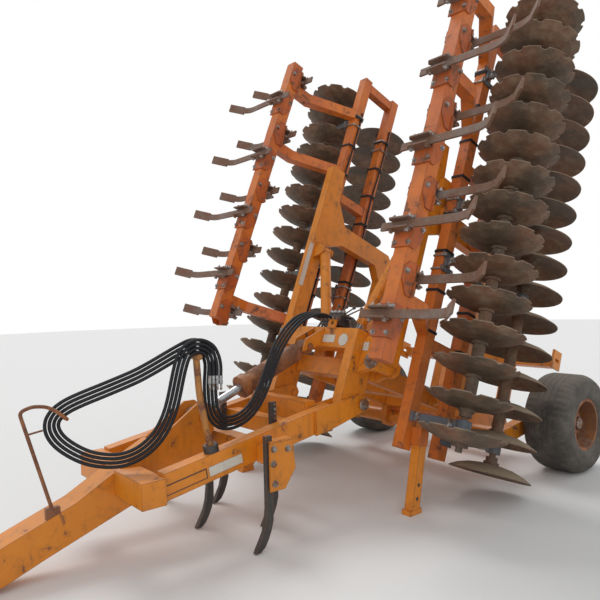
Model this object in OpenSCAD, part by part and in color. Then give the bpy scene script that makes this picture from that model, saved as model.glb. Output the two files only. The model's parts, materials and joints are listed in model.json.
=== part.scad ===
// Trailed folding disc harrow, parked on its wheels, stands and hitch with both
// wings folded upright. Millimetres. The origin is on the floor under the middle
// of the machine, -Y is the hitch end, +X the machine's left side, +Z up.
// The chassis sits nose-up, so the chassis and the wings are drawn in a tilted
// chassis frame whose origin is the drawbar hinge. The drawbar and the wheels are
// drawn in the level frame, in the same place.

/* [Stance] */
// Nose-up angle of the chassis, degrees
pitch = 21.8; // [20:0.2:23]
// Height of the drawbar hinge pin
pin_height = 780; // [765:5:800]
// Distance from the drawbar hinge pin back to the wheel axle
pin_to_axle = 1960; // [1920:10:2000]
// Distance from the wheel axle forward to the tip of the hitch eye
hitch_reach = 5020; // [4960:10:5100]

/* [Wheels] */
// Outside diameter of a tyre
tyre_d = 870; // [840:5:900]
// Width of a tyre
tyre_w = 420; // [380:5:440]
// Distance between the wheel centres
track = 2332; // [2310:2:2360]
// Diameter of the wheel rim
rim_d = 440; // [400:5:480]
// Diameter of the stub axle
stub_d = 70; // [50:1:80]
// Diameter of the cross shaft that carries the wheel arms
arm_shaft_d = 140; // [120:1:150]
// Depth of a wheel arm
arm_h = 130; // [110:1:150]
// Thickness of a wheel arm
arm_t = 90; // [70:1:100]

/* [Chassis] */
// Distance between the centres of the two chassis rails
rail_gauge = 840; // [830:2:850]
// Width of a rail
rail_w = 110; // [100:1:118]
// Depth of a rail
rail_h = 150; // [130:1:160]
// Length of a rail behind the portal
rail_len = 2110; // [2080:5:2140]
// Height of the rails' underside above the drawbar hinge
rail_z = 200; // [196:1:212]
// Height of the portal's top above the drawbar hinge
portal_top = 560; // [540:2:590]
// Depth of the portal's top beam
portal_beam_h = 170; // [150:1:190]
// Width of a portal leg
portal_leg_w = 96; // [80:1:98]

/* [Drawbar] */
// Width of the nose box
nose_w = 200; // [180:2:220]
// Width of a side beam
side_beam_w = 100; // [90:1:108]
// Depth of a side beam
side_beam_h = 170; // [150:1:190]
// Width of a cross tube
cross_tube_w = 110; // [100:1:120]
// Diameter of the drawbar hinge pins
hinge_pin_d = 50; // [40:1:56]
// Outside diameter of the hitch eye
eye_d = 150; // [140:1:170]
// Bore of the hitch eye
eye_bore = 52; // [40:1:60]
// Thickness of the hitch eye
eye_t = 50; // [40:1:60]
// Thickness of a drawbar tine leg, side to side
leg_tine_w = 44; // [36:1:48]

/* [Wings] */
// Height of the fold hinge above the drawbar hinge
fold_z = 330; // [324:1:336]
// Distance from the middle of the machine to a fold hinge
fold_x = 600; // [596:1:610]
// Diameter of a fold hinge pin
fold_pin_d = 60; // [50:1:70]
// Side of the square tine beam
tine_beam = 120; // [110:1:130]
// Side of the square gang beams
gang_beam = 100; // [90:1:106]
// Distance from the machine's middle to the tine beam, folded
tine_beam_x = 1083; // [1075:1:1095]
// Distance from the machine's middle to the gang beams, folded
gang_beam_x = 793; // [788:1:800]
// Height of a wing's tine beam above the drawbar hinge, top end, folded
wing_top = 3340; // [3300:5:3400]

/* [Gangs] */
// Diameter of a disc
disc_d = 630; // [600:2:632]
// Thickness of a disc
disc_t = 7; // [5:0.5:9]
// Dish depth of a disc
dish = 74; // [60:1:76]
// Distance between discs
disc_pitch = 252; // [250:0.5:256]
// Number of discs on a gang
disc_count = 15; // [14:1:15]
// Number of notches in a front disc
notch_count = 10; // [8:1:12]
// Radius of a notch
notch_r = 34; // [20:1:40]
// Diameter of a gang shaft
gang_shaft_d = 50; // [40:1:56]
// Diameter of a spool between discs
spool_d = 92; // [80:1:100]
// Diameter of a spool's flange
spool_flange_d = 120; // [110:2:130]

/* [Tines] */
// Distance between tines of one row
tine_pitch = 648; // [640:1:656]
// Width of a tine's leaf
leaf_w = 60; // [50:1:66]
// Thickness of a tine's leaf
leaf_t = 16; // [12:1:18]
// Width of a tine's shovel
shovel_w = 86; // [70:1:92]

/* [Cylinders] */
// Outside diameter of the drawbar cylinder
draw_barrel_d = 150; // [130:1:160]
// Diameter of the drawbar cylinder's rod
draw_rod_d = 64; // [50:1:70]
// Outside diameter of a fold cylinder
fold_barrel_d = 100; // [90:1:110]
// Diameter of a fold cylinder's rod
fold_rod_d = 50; // [40:1:56]

/* [Stands] */
// Side of the square stand leg
stand_leg = 78; // [70:1:78]
// Side of the stand's foot plate
stand_foot = 130; // [110:1:150]

/* [Hidden] */
$fn = 48;

// Clearances: running fits, moving neighbours
fit = 0.05;
gap = 5;

// Colours
c_frame = "#D9741C";
c_faded = "#C8642C";
c_disc = "#6E5444";
c_steel = "#8A8A88";
c_dark = "#2E2C2A";
c_chrome = "#C9CCD0";

// Level frame
tyre_r = tyre_d / 2;
axle_y = (hitch_reach - tyre_r) / 2;
pin_y = axle_y - pin_to_axle;
hitch_tip_y = axle_y - hitch_reach;

// A level point [y, z] seen in the chassis frame
function local(p) = [
    (p[0] - pin_y) * cos(pitch) - (p[1] - pin_height) * sin(pitch),
    (p[0] - pin_y) * sin(pitch) + (p[1] - pin_height) * cos(pitch)
];
axle_local = local([axle_y, tyre_r]);

// Places in the chassis frame: x outwards, y rearwards, z up
rail_x = rail_gauge / 2;
rail_top = rail_z + rail_h;
portal_front = -200;
portal_rear = -60;
rail_front = 40;
arm_pivot = [1420, rail_z - 20 - arm_shaft_d / 2];
post_y = [-50, 100];
rear_leg_y = [950, 1120];
frame_x = 640;
frame_t = 96;
fold_cyl_y = 60;
fold_cyl_base = [140, rail_top + 120];
fold_cyl_top = [505, 1400];
front_beam_y = -535;
gang2_y = 220;
gang3_y = 677;
front_gang = [1254, 271, -123];
rear_gang = [1123, 927, -178];
gang_low = -250;
gang_high = 3560;
hanger_slots = [0, 5, 7, 12];
hanger_h = 66;
hanger_t = 14;
bearing_w = 80;
bearing_d = 110;
link_z = [540, 2090, 3440];
arm_z_left = [690, 2480, 3230];
arm_z_right = [710, 2400, 3090];

// Rows of tines on the tine beam: [side, row, first height, count]
tine_rows = [
    ["left", "front", 533, 5],
    ["left", "rear", 857, 4],
    ["right", "front", 928, 4],
    ["right", "rear", 603, 5]
];
tine_beam_low_left = 236;
tine_beam_low_right = 500;

// Drawbar places, level: y behind the nose, z above the floor
beam_slope = 9.46;
front_tube_y = pin_y - 1760;
side_beam_x = rail_x;
tower_y = pin_y - 1180;
tower_z = 800;
cyl_head = [pin_y - 150, pin_height + 440];
draw_len = norm(cyl_head - [tower_y, tower_z]);
draw_angle = atan2(cyl_head[1] - tower_z, cyl_head[0] - tower_y);
draw_barrel_len = 700;

// A block from corner a to corner b
module block(a, b) {
    translate(a) cube(b - a);
}

// A cylinder of radius r from point p to point q
module rod(p, q, r) {
    v = q - p;
    translate(p)
        rotate([0, acos(v[2] / norm(v)), atan2(v[1], v[0])])
            cylinder(h = norm(v), r = r);
}

// A bent round bar through the points of path, a little thicker at its bends
bend_swell = 1.15;
module bent_bar(path, r) {
    for (i = [0 : len(path) - 2])
        rod(path[i], path[i + 1], r);
    for (i = [1 : len(path) - 2])
        translate(path[i]) sphere(r = r * bend_swell);
}

// A plate with outline pts in the y-z plane, from x0 to x1
module side_plate(pts, x0, x1) {
    translate([x0, 0, 0])
        rotate([90, 0, 90])
            linear_extrude(height = x1 - x0)
                polygon(pts);
}

// A plate with outline pts in the x-z plane, from y0 to y1
module cross_plate(pts, y0, y1) {
    translate([0, y1, 0])
        rotate([90, 0, 0])
            linear_extrude(height = y1 - y0)
                polygon(pts);
}

// A plate with outline pts in the x-y plane, from z0 to z1
module flat_plate(pts, z0, z1) {
    translate([0, 0, z0])
        linear_extrude(height = z1 - z0)
            polygon(pts);
}

// The tilted chassis frame
module chassis() {
    translate([0, pin_y, pin_height])
        rotate([-pitch, 0, 0])
            children();
}

// The chassis frame on one side: 1 is left, -1 right
module wing_side(side) {
    chassis()
        mirror([side < 0 ? 1 : 0, 0, 0])
            children();
}

module both_sides() {
    children();
    mirror([1, 0, 0]) children();
}

// Portal: an upright arch that the drawbar, its cylinder and the wings hang on
module portal() {
    leg_outline = [
        [portal_front, portal_top - portal_beam_h], [portal_rear, portal_top - portal_beam_h],
        [rail_front, rail_top + 20], [rail_front, -60], [0, -95], [-150, -95],
        [portal_front, -50]
    ];
    lug_outline = [
        [rail_x + portal_leg_w / 2, rail_z + 20], [fold_x - 40, fold_z - 74],
        [fold_x + 40, fold_z - 74], [fold_x + 74, fold_z - 30], [fold_x + 74, fold_z + 40],
        [fold_x + 30, portal_top + 30], [fold_x - 20, portal_top + 30],
        [rail_x + portal_leg_w / 2, portal_top - 60]
    ];
    head = local(cyl_head);
    color(c_frame) chassis() {
        difference() {
            union() {
                block([-rail_x - portal_leg_w / 2, portal_front, portal_top - portal_beam_h],
                      [rail_x + portal_leg_w / 2, portal_rear, portal_top]);
                both_sides()
                    side_plate(leg_outline, rail_x - portal_leg_w / 2, rail_x + portal_leg_w / 2);
            }
            rod([-rail_x - 100, 0, 0], [rail_x + 100, 0, 0], hinge_pin_d / 2 + fit);
        }
        // Lugs for the drawbar cylinder's head pin
        for (x = [-75, 55])
            difference() {
                side_plate([[portal_front, portal_top - 10], [portal_front, portal_top - 160],
                            [head[0] - 60, head[1] - 60], [head[0] - 60, head[1] + 50]],
                           x, x + 20);
                rod([x - 10, head[0], head[1]], [x + 30, head[0], head[1]], 30 + fit);
            }
        // Front ears of the fold hinges
        both_sides()
            difference() {
                cross_plate(lug_outline, post_y[0] - 60, post_y[0] - gap);
                rod([fold_x, post_y[0] - 80, fold_z], [fold_x, 0, fold_z], fold_pin_d / 2 + fit);
            }
    }
}

// Valve block on its bracket on the portal's top
module valve_block() {
    color(c_dark) chassis() {
        block([20, portal_front + 30, portal_top], [170, portal_rear - 10, portal_top + 30]);
        block([-20, portal_front + 20, portal_top + 30], [210, portal_rear, portal_top + 120]);
        for (k = [0 : hose_count])
            rod([fitting_x + k * fitting_pitch, portal_front - 25, portal_top + 75],
                [fitting_x + k * fitting_pitch, portal_front + 20, portal_top + 75], 14);
        for (x = [30 : 50 : 180])
            rod([x, -130, portal_top + 120], [x, -130, portal_top + 150], 16);
    }
}

// Chassis rails with their cross beams and the rear ears of the fold hinges
module chassis_rails() {
    inner = rail_x - rail_w / 2;
    outer = rail_x + rail_w / 2;
    ear = [
        [outer, rail_z + 10], [fold_x - 30, fold_z - 74], [fold_x + 30, fold_z - 74],
        [fold_x + 74, fold_z - 30], [fold_x + 74, fold_z + 30], [fold_x + 30, fold_z + 74],
        [fold_x - 30, fold_z + 74], [outer, rail_top]
    ];
    color(c_frame) chassis() {
        both_sides() {
            block([inner, rail_front, rail_z], [outer, rail_front + rail_len, rail_top]);
            for (y = [post_y[1] + gap, rear_leg_y[0] - gap - 50, rear_leg_y[1] + gap])
                difference() {
                    cross_plate(ear, y, y + 50);
                    rod([fold_x, y - 5, fold_z], [fold_x, y + 55, fold_z], fold_pin_d / 2 + fit);
                }
            // Hangers of the cross shaft
            difference() {
                side_plate([[arm_pivot[0] - 110, rail_z], [arm_pivot[0] + 110, rail_z],
                            [arm_pivot[0] + 95, arm_pivot[1] - 60], [arm_pivot[0] + 40, arm_pivot[1] - 100],
                            [arm_pivot[0] - 40, arm_pivot[1] - 100], [arm_pivot[0] - 95, arm_pivot[1] - 60]],
                           inner + 20, outer - 20);
                rod([inner, arm_pivot[0], arm_pivot[1]], [outer, arm_pivot[0], arm_pivot[1]],
                    arm_shaft_d / 2 + fit);
            }
        }
        for (y = [-20, 560, 1240, 1900])
            block([-inner, y, rail_z], [inner, y + 160, rail_top]);
        // Lugs at the foot of the fold cylinders, with the heads of the pins
        both_sides() {
            for (y = [fold_cyl_y - 65, fold_cyl_y + 50])
                cross_plate([[70, rail_top], [210, rail_top],
                             [fold_cyl_base[0] + 45, fold_cyl_base[1] + 40],
                             [fold_cyl_base[0] - 45, fold_cyl_base[1] + 40]], y, y + 15);
            for (y = [[-80, -65], [65, 80]])
                rod([fold_cyl_base[0], fold_cyl_y + y[0], fold_cyl_base[1]],
                    [fold_cyl_base[0], fold_cyl_y + y[1], fold_cyl_base[1]], 30);
        }
    }
}

// Rear frame behind the wheels: two uprights, a beam and slotted end plates
module rear_frame() {
    y0 = rail_front + rail_len - 110;
    beam_z = axle_local[1] + tyre_r + 90;
    reach = 930;
    color(c_frame) chassis() {
        both_sides() {
            block([rail_x - 50, y0, rail_top], [rail_x + 50, y0 + 100, beam_z]);
            difference() {
                block([reach, y0 - 90, beam_z - 30], [reach + 20, y0 + 60, beam_z + 150]);
                block([reach - 5, y0 - 50, beam_z + 40], [reach + 25, y0 + 20, beam_z + 70]);
            }
        }
        block([-reach, y0, beam_z], [reach, y0 + 100, beam_z + 100]);
    }
}

// Side outline of the nose box, level: [share of its length from the back, z above the floor]
nose_back = -1140;
nose_front = pin_to_axle - hitch_reach + 170;
nose_under_rows = [[1, 30], [0.78, 40], [0.65, 125], [0.32, 325], [0.17, 420], [0, 560]];
nose_top_rows = [[0, 700], [0.24, 690], [0.42, 530], [0.54, 415], [0.78, 262], [1, 110]];
function nose_points(rows) = [for (q = rows) [nose_back + q[0] * (nose_front - nose_back), q[1]]];
nose_under = nose_points(nose_under_rows);
nose_top = nose_points(nose_top_rows);

// Nose box of the drawbar with the tower that takes the cylinder's rod eye
module drawbar_nose() {
    tower = [[-1590, 660], [-1140, 640], [-1100, 700], [-1100, 860], [-1150, 900], [-1230, 900]];
    color(c_frame) {
        translate([0, pin_y, 0]) {
            side_plate(concat(nose_under, nose_top), -nose_w / 2, nose_w / 2);
            for (x = [-nose_w / 2, nose_w / 2 - 24])
                side_plate(tower, x, x + 24);
        }
        // Heads of the pin at the rod's eye
        both_sides()
            rod([nose_w / 2, tower_y, tower_z], [nose_w / 2 + 20, tower_y, tower_z], 36);
    }
}

// Height of the side beams' centre line at y
function beam_z(y) = pin_height + (y - pin_y) * tan(beam_slope);

// Side beams with their forked ends and hinge pins. fork_x holds the forks' inner
// and outer plates' inner faces
fork_t = 22;
fork_x = [side_beam_x - portal_leg_w / 2 - gap - fork_t, side_beam_x + portal_leg_w / 2 + gap];
module drawbar_side_beams() {
    y0 = front_tube_y + 80;
    y1 = pin_y - 290;
    y2 = pin_y - 470;
    half = side_beam_h / 2;
    fork = [[y2, beam_z(y2) - half - 6], [y1, beam_z(y1) - half - 6], [pin_y - 20, pin_height - 75],
            [pin_y + 40, pin_height - 60], [pin_y + 65, pin_height], [pin_y + 40, pin_height + 60],
            [pin_y - 20, pin_height + 75], [y1, beam_z(y1) + half + 6], [y2, beam_z(y2) + half + 6]];
    color(c_frame)
        both_sides() {
            side_plate([[y0, beam_z(y0) - half], [y1, beam_z(y1) - half],
                        [y1, beam_z(y1) + half], [y0, beam_z(y0) + half]],
                       side_beam_x - side_beam_w / 2, side_beam_x + side_beam_w / 2);
            for (x = fork_x)
                side_plate(fork, x, x + fork_t);
            block([fork_x[0], y2, beam_z(y2) - half], [fork_x[1], y1, beam_z(y2) + half]);
            rod([fork_x[0] - 18, pin_y, pin_height], [fork_x[1] + fork_t + 18, pin_y, pin_height],
                hinge_pin_d / 2);
        }
}

// Cross tubes of the drawbar:
// [y from the hinge pin, inner end, outer end, width, depth, rise over the beams]
side_beam_in = side_beam_x - side_beam_w / 2;
cross_tubes = [
    [-1760, nose_w / 2, 500, 160, 160, 0],
    [-1000, 0, side_beam_in, cross_tube_w, 120, 0],
    [-640, 0, side_beam_in, cross_tube_w, 120, 0],
    [-400, 0, fork_x[0], cross_tube_w, 150, 50]
];
module drawbar_cross_tubes() {
    color(c_frame) both_sides()
        for (t = cross_tubes) {
            y = pin_y + t[0];
            z = beam_z(y) + t[5];
            block([t[1], y - t[3] / 2, z - t[4] / 2], [t[2], y + t[3] / 2, z + t[4] / 2]);
        }
}

// Legs under the drawbar: [x, y from the hinge pin, top height above the floor]
drawbar_legs = [
    [660, -1030, 740],
    [-660, -1030, 740],
    [30, -1095, 735],
    [330, -735, 880],
    [-330, -735, 880]
];
// One leg: a flat upright shank that bends forward into a point
module drawbar_leg(x, y, top) {
    color(c_dark)
        side_plate([[y - 40, top], [y - 40, 260], [y - 60, 140], [y - 110, 30], [y - 140, 6],
                    [y - 60, 6], [y - 10, 60], [y + 30, 160], [y + 40, 280], [y + 40, top]],
                   x - leg_tine_w / 2, x + leg_tine_w / 2);
}
module drawbar_tines() {
    for (l = drawbar_legs)
        drawbar_leg(l[0], pin_y + l[1], l[2]);
    // Brackets of the two outer legs
    outer = drawbar_legs[0];
    y = pin_y + outer[1] + 40;
    color(c_frame)
        both_sides() {
            block([side_beam_x + side_beam_w / 2, y, 520], [outer[0] + leg_tine_w / 2 + 14, y + 110, 640]);
            for (d = [-leg_tine_w / 2 - 14, leg_tine_w / 2])
                side_plate([[y - 60, 700], [y + 130, 700], [y + 150, 500], [y + 60, 380], [y - 60, 380]],
                           outer[0] + d, outer[0] + d + 14);
        }
}

// Hitch eye: a ring on a tongue that lies on the floor
module hitch_eye() {
    ring_y = hitch_tip_y + eye_d / 2;
    color(c_steel) {
        difference() {
            union() {
                translate([0, ring_y, 0]) cylinder(h = eye_t, d = eye_d);
                block([-50, ring_y, 0], [50, pin_y + nose_front, eye_t]);
            }
            translate([0, ring_y, -1]) cylinder(h = eye_t + 2, d = eye_bore);
        }
        block([-80, pin_y + nose_front - 25, 0], [80, pin_y + nose_front, 120]);
    }
}

// Hose post on the left side beam, with a bar at its top that the hoses lie over, and
// hooked stay on the nose
post_foot_y = pin_y - 1317;
post_head = [pin_y - 1412, 1270];
module hose_supports() {
    z = beam_z(post_foot_y) + side_beam_h / 2;
    x = side_beam_x;
    color("#C77A28") {
        bent_bar([[x, post_foot_y, z + 5], [x, post_foot_y - 46, 860], [x, post_foot_y - 77, 1010],
                  [x, post_head[0], post_head[1]]], 22);
        rod([x - 50, post_head[0], post_head[1]], [x + 50, post_head[0], post_head[1]], hose_bar_r);
        // A ring that follows the beam's slope
        translate([x, post_foot_y, z])
            rotate([beam_slope, 0, 0])
                difference() {
                    cylinder(h = 50, r = 50);
                    translate([0, 0, 20]) cylinder(h = 40, r = 34);
                }
    }
    foot = pin_y + nose_front + 675;
    sx = nose_w / 2 - 22;
    color("#7A4B33") {
        // A foot on the nose's top
        side_plate([[foot - 40, lookup(foot - 40 - pin_y, nose_top)],
                    [foot + 40, lookup(foot + 40 - pin_y, nose_top)],
                    [foot + 40, 420], [foot - 40, 420]], sx - 20, sx + 20);
        bent_bar([[sx, foot, 400], [sx, foot - 170, 1010], [sx, foot - 98, 1034], [sx, foot - 18, 1022],
                  [sx, foot + 42, 985], [sx, foot + 106, 925], [0, foot + 110, 925]], 11);
        rod([sx, foot - 130, 873], [sx, foot - 43, 885], 6);
    }
}

// Hoses from the valve block's fittings over the post, round the stay's hook and back
// over the post to their couplers. The route is the middle of the bundle, level:
// [x, y from the hinge pin, z above the floor]
hose_d = 22;
hose_pitch = 26;
fitting_pitch = 45;
fitting_x = 10;
hose_count = 4;
hose_bar_r = 18.5;
hose_route = [
    [78, 26, 1454], [78, -42, 1481], [90, -132, 1490], [115, -252, 1470], [150, -372, 1425],
    [190, -492, 1350], [222, -602, 1245], [250, -692, 1120], [275, -782, 985], [300, -882, 872],
    [328, -1002, 808], [352, -1122, 792], [375, -1222, 822], [388, -1280, 895], [394, -1298, 990],
    [396, -1300, 1100], [396, -1292, 1215], [396, -1326, 1304], [396, -1412, 1340], [386, -1492, 1317],
    [330, -1607, 1248], [255, -1742, 1168], [162, -1929, 1088], [80, -2087, 1020], [38, -2170, 955],
    [28, -2190, 875], [52, -2140, 780], [115, -2014, 685], [196, -1861, 650], [262, -1732, 690],
    [315, -1632, 790], [355, -1572, 930], [392, -1547, 1080], [428, -1534, 1205], [445, -1500, 1302],
    [446, -1412, 1340], [447, -1326, 1304], [447, -1290, 1215], [447, -1290, 1140]
];
// Horizontal direction that the loops face
loop_face = [0.99, -0.14, 0];
function unit(v) = v / norm(v);
function at(p, i) = p[max(0, min(len(p) - 1, i))];
function mid_point(p, i) = (9 * (p[i] + p[i + 1]) - at(p, i - 1) - at(p, i + 2)) / 16;
function smooth(p) = [
    for (i = [0 : len(p) - 1])
        for (q = i < len(p) - 1 ? [p[i], mid_point(p, i)] : [p[i]]) q
];
function along(p, i) = unit(at(p, i + 1) - at(p, i - 1));
// The middle line of hose k: side by side at the fittings, above one another in the loops
function hose_line(k) = let (p = smooth(hose_route), o = k - (hose_count - 1) / 2) [
    for (i = [0 : len(p) - 1])
        let (w = max(0, min(1, 1 - (i - 2) / 12)))
            [0, pin_y, 0] + p[i] + o * (w * [fitting_pitch, 0, 0]
                                        + (1 - w) * hose_pitch * unit(cross(loop_face, along(p, i))))
];
// A round tube of n sides along p
module tube(p, r, n) {
    points = [
        for (i = [0 : len(p) - 1])
            let (t = along(p, i), u = unit(cross(t, loop_face)), v = cross(t, u))
                for (j = [0 : n - 1]) p[i] + r * (cos(360 * j / n) * u + sin(360 * j / n) * v)
    ];
    last = (len(p) - 1) * n;
    sides = [
        for (i = [0 : len(p) - 2])
            for (j = [0 : n - 1])
                [i * n + j, i * n + (j + 1) % n, (i + 1) * n + (j + 1) % n, (i + 1) * n + j]
    ];
    polyhedron(points = points,
               faces = concat([[for (j = [n - 1 : -1 : 0]) j]], sides, [[for (j = [0 : n - 1]) last + j]]));
}
module hose(k) {
    color(c_dark) tube(hose_line(k), hose_d / 2, 8);
}
module hose_couplers() {
    color(c_chrome)
        for (k = [0 : hose_count - 1]) {
            line = hose_line(k);
            end = line[len(line) - 1];
            translate(end - [0, 0, 60]) cylinder(h = 59.2, d = hose_d + 2);
            translate(end - [0, 0, 95]) cylinder(h = 36, d = hose_d - 5);
        }
}

// Frame with its origin on the drawbar cylinder's head pin, Y along the rod
module draw_cylinder_frame() {
    translate([0, cyl_head[0], cyl_head[1]])
        rotate([draw_angle, 0, 0])
            children();
}
module drawbar_barrel() {
    color("#B5662E") draw_cylinder_frame()
        difference() {
            union() {
                rod([-48, 0, 0], [48, 0, 0], 58);
                rod([-82, 0, 0], [82, 0, 0], 30);
                rod([0, 0, 0], [0, -110, 0], 44);
                rod([0, -100, 0], [0, -draw_barrel_len, 0], draw_barrel_d / 2);
                rod([0, 60 - draw_barrel_len, 0], [0, -draw_barrel_len, 0], draw_barrel_d / 2 + 14);
            }
            rod([0, -118, 0], [0, -draw_barrel_len - 5, 0], draw_rod_d / 2 + fit);
        }
}
module drawbar_rod() {
    color(c_chrome) draw_cylinder_frame() {
        rod([0, -400, 0], [0, 45 - draw_len, 0], draw_rod_d / 2);
        rod([-60, -draw_len, 0], [60, -draw_len, 0], 60);
    }
}

// Cross shaft, wheel arms and stub axles
module wheel_arms() {
    tyre_in = track / 2 - tyre_w / 2;
    reach = norm(axle_local - arm_pivot);
    angle = atan2(axle_local[1] - arm_pivot[1], axle_local[0] - arm_pivot[0]);
    arm_x = tyre_in - 30 - arm_t;
    color(c_frame) chassis() {
        rod([-arm_x - arm_t, arm_pivot[0], arm_pivot[1]], [arm_x + arm_t, arm_pivot[0], arm_pivot[1]],
            arm_shaft_d / 2);
        both_sides() {
            translate([arm_x, arm_pivot[0], arm_pivot[1]])
                rotate([angle, 0, 0])
                    block([0, -arm_h / 2, -arm_h / 2], [arm_t, reach + arm_h / 2, arm_h / 2]);
            rod([arm_x + 10, axle_local[0], axle_local[1]],
                [track / 2 + 60, axle_local[0], axle_local[1]], stub_d / 2);
        }
    }
}

// Tyre with rounded shoulders, axis along X
module tyre(side) {
    half = tyre_w / 2;
    color(c_dark)
        translate([side * track / 2, axle_y, tyre_r])
            rotate([0, 90, 0])
                rotate_extrude($fn = 96)
                    polygon([[rim_d / 2, -half + 40], [rim_d / 2 + 50, -half + 8], [tyre_r - 90, -half],
                             [tyre_r - 35, -half + 22], [tyre_r - 8, -half + 62], [tyre_r, -half + 110],
                             [tyre_r, half - 110], [tyre_r - 8, half - 62], [tyre_r - 35, half - 22],
                             [tyre_r - 90, half], [rim_d / 2 + 50, half - 8], [rim_d / 2, half - 40]]);
}

// Rim with its disc and hub, bored for the stub axle
module rim(side) {
    half = tyre_w / 2;
    color(c_frame)
        translate([side * track / 2, axle_y, tyre_r])
            rotate([0, side * 90, 0])
                rotate_extrude($fn = 96)
                    polygon([[rim_d / 2, -half + 40], [rim_d / 2, half - 40], [rim_d / 2 + 12, half - 28],
                             [rim_d / 2 - 16, half - 28], [rim_d / 2 - 22, 40], [110, 30], [95, 90], [60, 110],
                             [60, 75], [stub_d / 2 + fit, 75], [stub_d / 2 + fit, -60], [90, -60], [90, 10],
                             [rim_d / 2 - 22, 10], [rim_d / 2 - 16, -half + 40]]);
}

// Square beam along the wing, from z0 to z1
module wing_beam(x, y, side, z0, z1) {
    block([x - side / 2, y - side / 2, z0], [x + side / 2, y + side / 2, z1]);
}

module tine_beam_part(side) {
    low = side > 0 ? tine_beam_low_left : tine_beam_low_right;
    color(c_faded) wing_side(side)
        wing_beam(tine_beam_x, front_beam_y, tine_beam, low, wing_top);
}

// Cranked arms from the tine beam to the first gang beam
module wing_arms_part(side) {
    y0 = front_beam_y + tine_beam / 2;
    y1 = gang2_y - gang_beam / 2;
    h = gang_beam / 2;
    x0 = tine_beam_x;
    x1 = gang_beam_x;
    color(c_faded) wing_side(side)
        for (z = side > 0 ? arm_z_left : arm_z_right)
            flat_plate([[x0 + h, y0], [x0 - h, y0], [x0 - h, -290], [x1 - h, y1], [x1 + h, y1],
                        [x0 + h, -250]], z - 50, z + 50);
}

// Two gang beams, the links between them and the stand's sleeve
module gang_beams_part(side) {
    h = gang_beam / 2;
    color(c_faded) wing_side(side) {
        for (y = [gang2_y, gang3_y])
            wing_beam(gang_beam_x, y, gang_beam, gang_low, gang_high);
        for (z = link_z)
            block([gang_beam_x - 45, gang2_y + h, z], [gang_beam_x + 45, gang3_y - h, z + 90]);
        stand_sleeve(side);
    }
}

// Stands: each leans along the wing, the left one back and the right one forward, so
// that they pass each other when both wings are down: [lean, y of the sleeve's top]
stand_x = gang_beam_x + gang_beam / 2 + stand_leg / 2 + 6;
stand_z = -60;
sleeve_len = 135;
stand_left = [9.5, gang2_y + 58];
stand_right = [-9.5, gang2_y + 28];
function stand(side) = side > 0 ? stand_left : stand_right;
module stand_frame(side) {
    translate([stand_x, stand(side)[1], stand_z])
        rotate([stand(side)[0], 0, 0])
            children();
}
module stand_sleeve(side) {
    s = stand_leg / 2;
    stand_frame(side)
        difference() {
            block([-s - 8, -s - 6, -sleeve_len], [s + 6, s + 6, 0]);
            block([-s - fit, -s - fit, -sleeve_len - 10], [s + fit, s + fit, 10]);
        }
}
// Length of a leg from the sleeve's top to its foot plate, worked out from the floor
foot_t = 12;
foot_rise = foot_t + 14;
module stand_leg_part(side) {
    s = stand_leg / 2;
    tilt = pitch - stand(side)[0];
    above_floor = pin_height - stand(side)[1] * sin(pitch) + stand_z * cos(pitch);
    leg = (above_floor - foot_rise) / cos(tilt);
    color(c_frame) wing_side(side)
        stand_frame(side) {
            block([-s, -s, -leg], [s, s, 0]);
            translate([0, 0, -leg])
                rotate([tilt, 0, 0])
                    block([-stand_foot / 2 + 25, -stand_foot / 2, -foot_rise],
                          [stand_foot / 2 - 25, stand_foot / 2, foot_t]);
        }
}

// Fold frame: a tall front post, a crossbar, a rear leg and hinge knuckles
module fold_frame_part(side) {
    x0 = frame_x - frame_t / 2;
    x1 = frame_x + frame_t / 2;
    beam_in = gang_beam_x - gang_beam / 2;
    outline = [
        [post_y[0], fold_z], [post_y[1], fold_z], [post_y[1], 1480], [330, 1590],
        [rear_leg_y[0] - 110, 1590], [rear_leg_y[0], 1450], [rear_leg_y[0], fold_z],
        [rear_leg_y[1], fold_z], [rear_leg_y[1], 1660], [rear_leg_y[1] - 110, 1770],
        [300, 1790], [140, 2000], [post_y[1] + 10, 2310], [post_y[0], 2310]
    ];
    color(c_frame) wing_side(side) {
        difference() {
            union() {
                side_plate(outline, x0, x1);
                for (y = [post_y, rear_leg_y])
                    rod([fold_x, y[0], fold_z], [fold_x, y[1], fold_z], 65);
            }
            rod([fold_x, post_y[0] - 5, fold_z], [fold_x, rear_leg_y[1] + 5, fold_z],
                fold_pin_d / 2 + fit);
        }
        // Pads that join it to the gang beams
        for (y = [gang2_y, gang3_y])
            block([x1, y - 50, 1610], [beam_in, y + 50, 1760]);
        block([x1, post_y[1] - 20, 1900], [beam_in, gang2_y + 50, 1990]);
        // Lugs for the fold cylinder's head
        for (y = [fold_cyl_y - 65, fold_cyl_y + 50])
            difference() {
                cross_plate([[x0, 1330], [fold_cyl_top[0] + 10, 1350], [fold_cyl_top[0] - 45, 1380],
                             [fold_cyl_top[0] - 45, 1430], [fold_cyl_top[0] + 10, 1460], [x0, 1490]],
                            y, y + 15);
                rod([fold_cyl_top[0], y - 5, fold_cyl_top[1]], [fold_cyl_top[0], y + 20, fold_cyl_top[1]],
                    20 + fit);
            }
        // Hinge pins
        for (y = [post_y, rear_leg_y])
            rod([fold_x, y[0] - 75, fold_z], [fold_x, y[1] + 60, fold_z], fold_pin_d / 2);
    }
}

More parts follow.
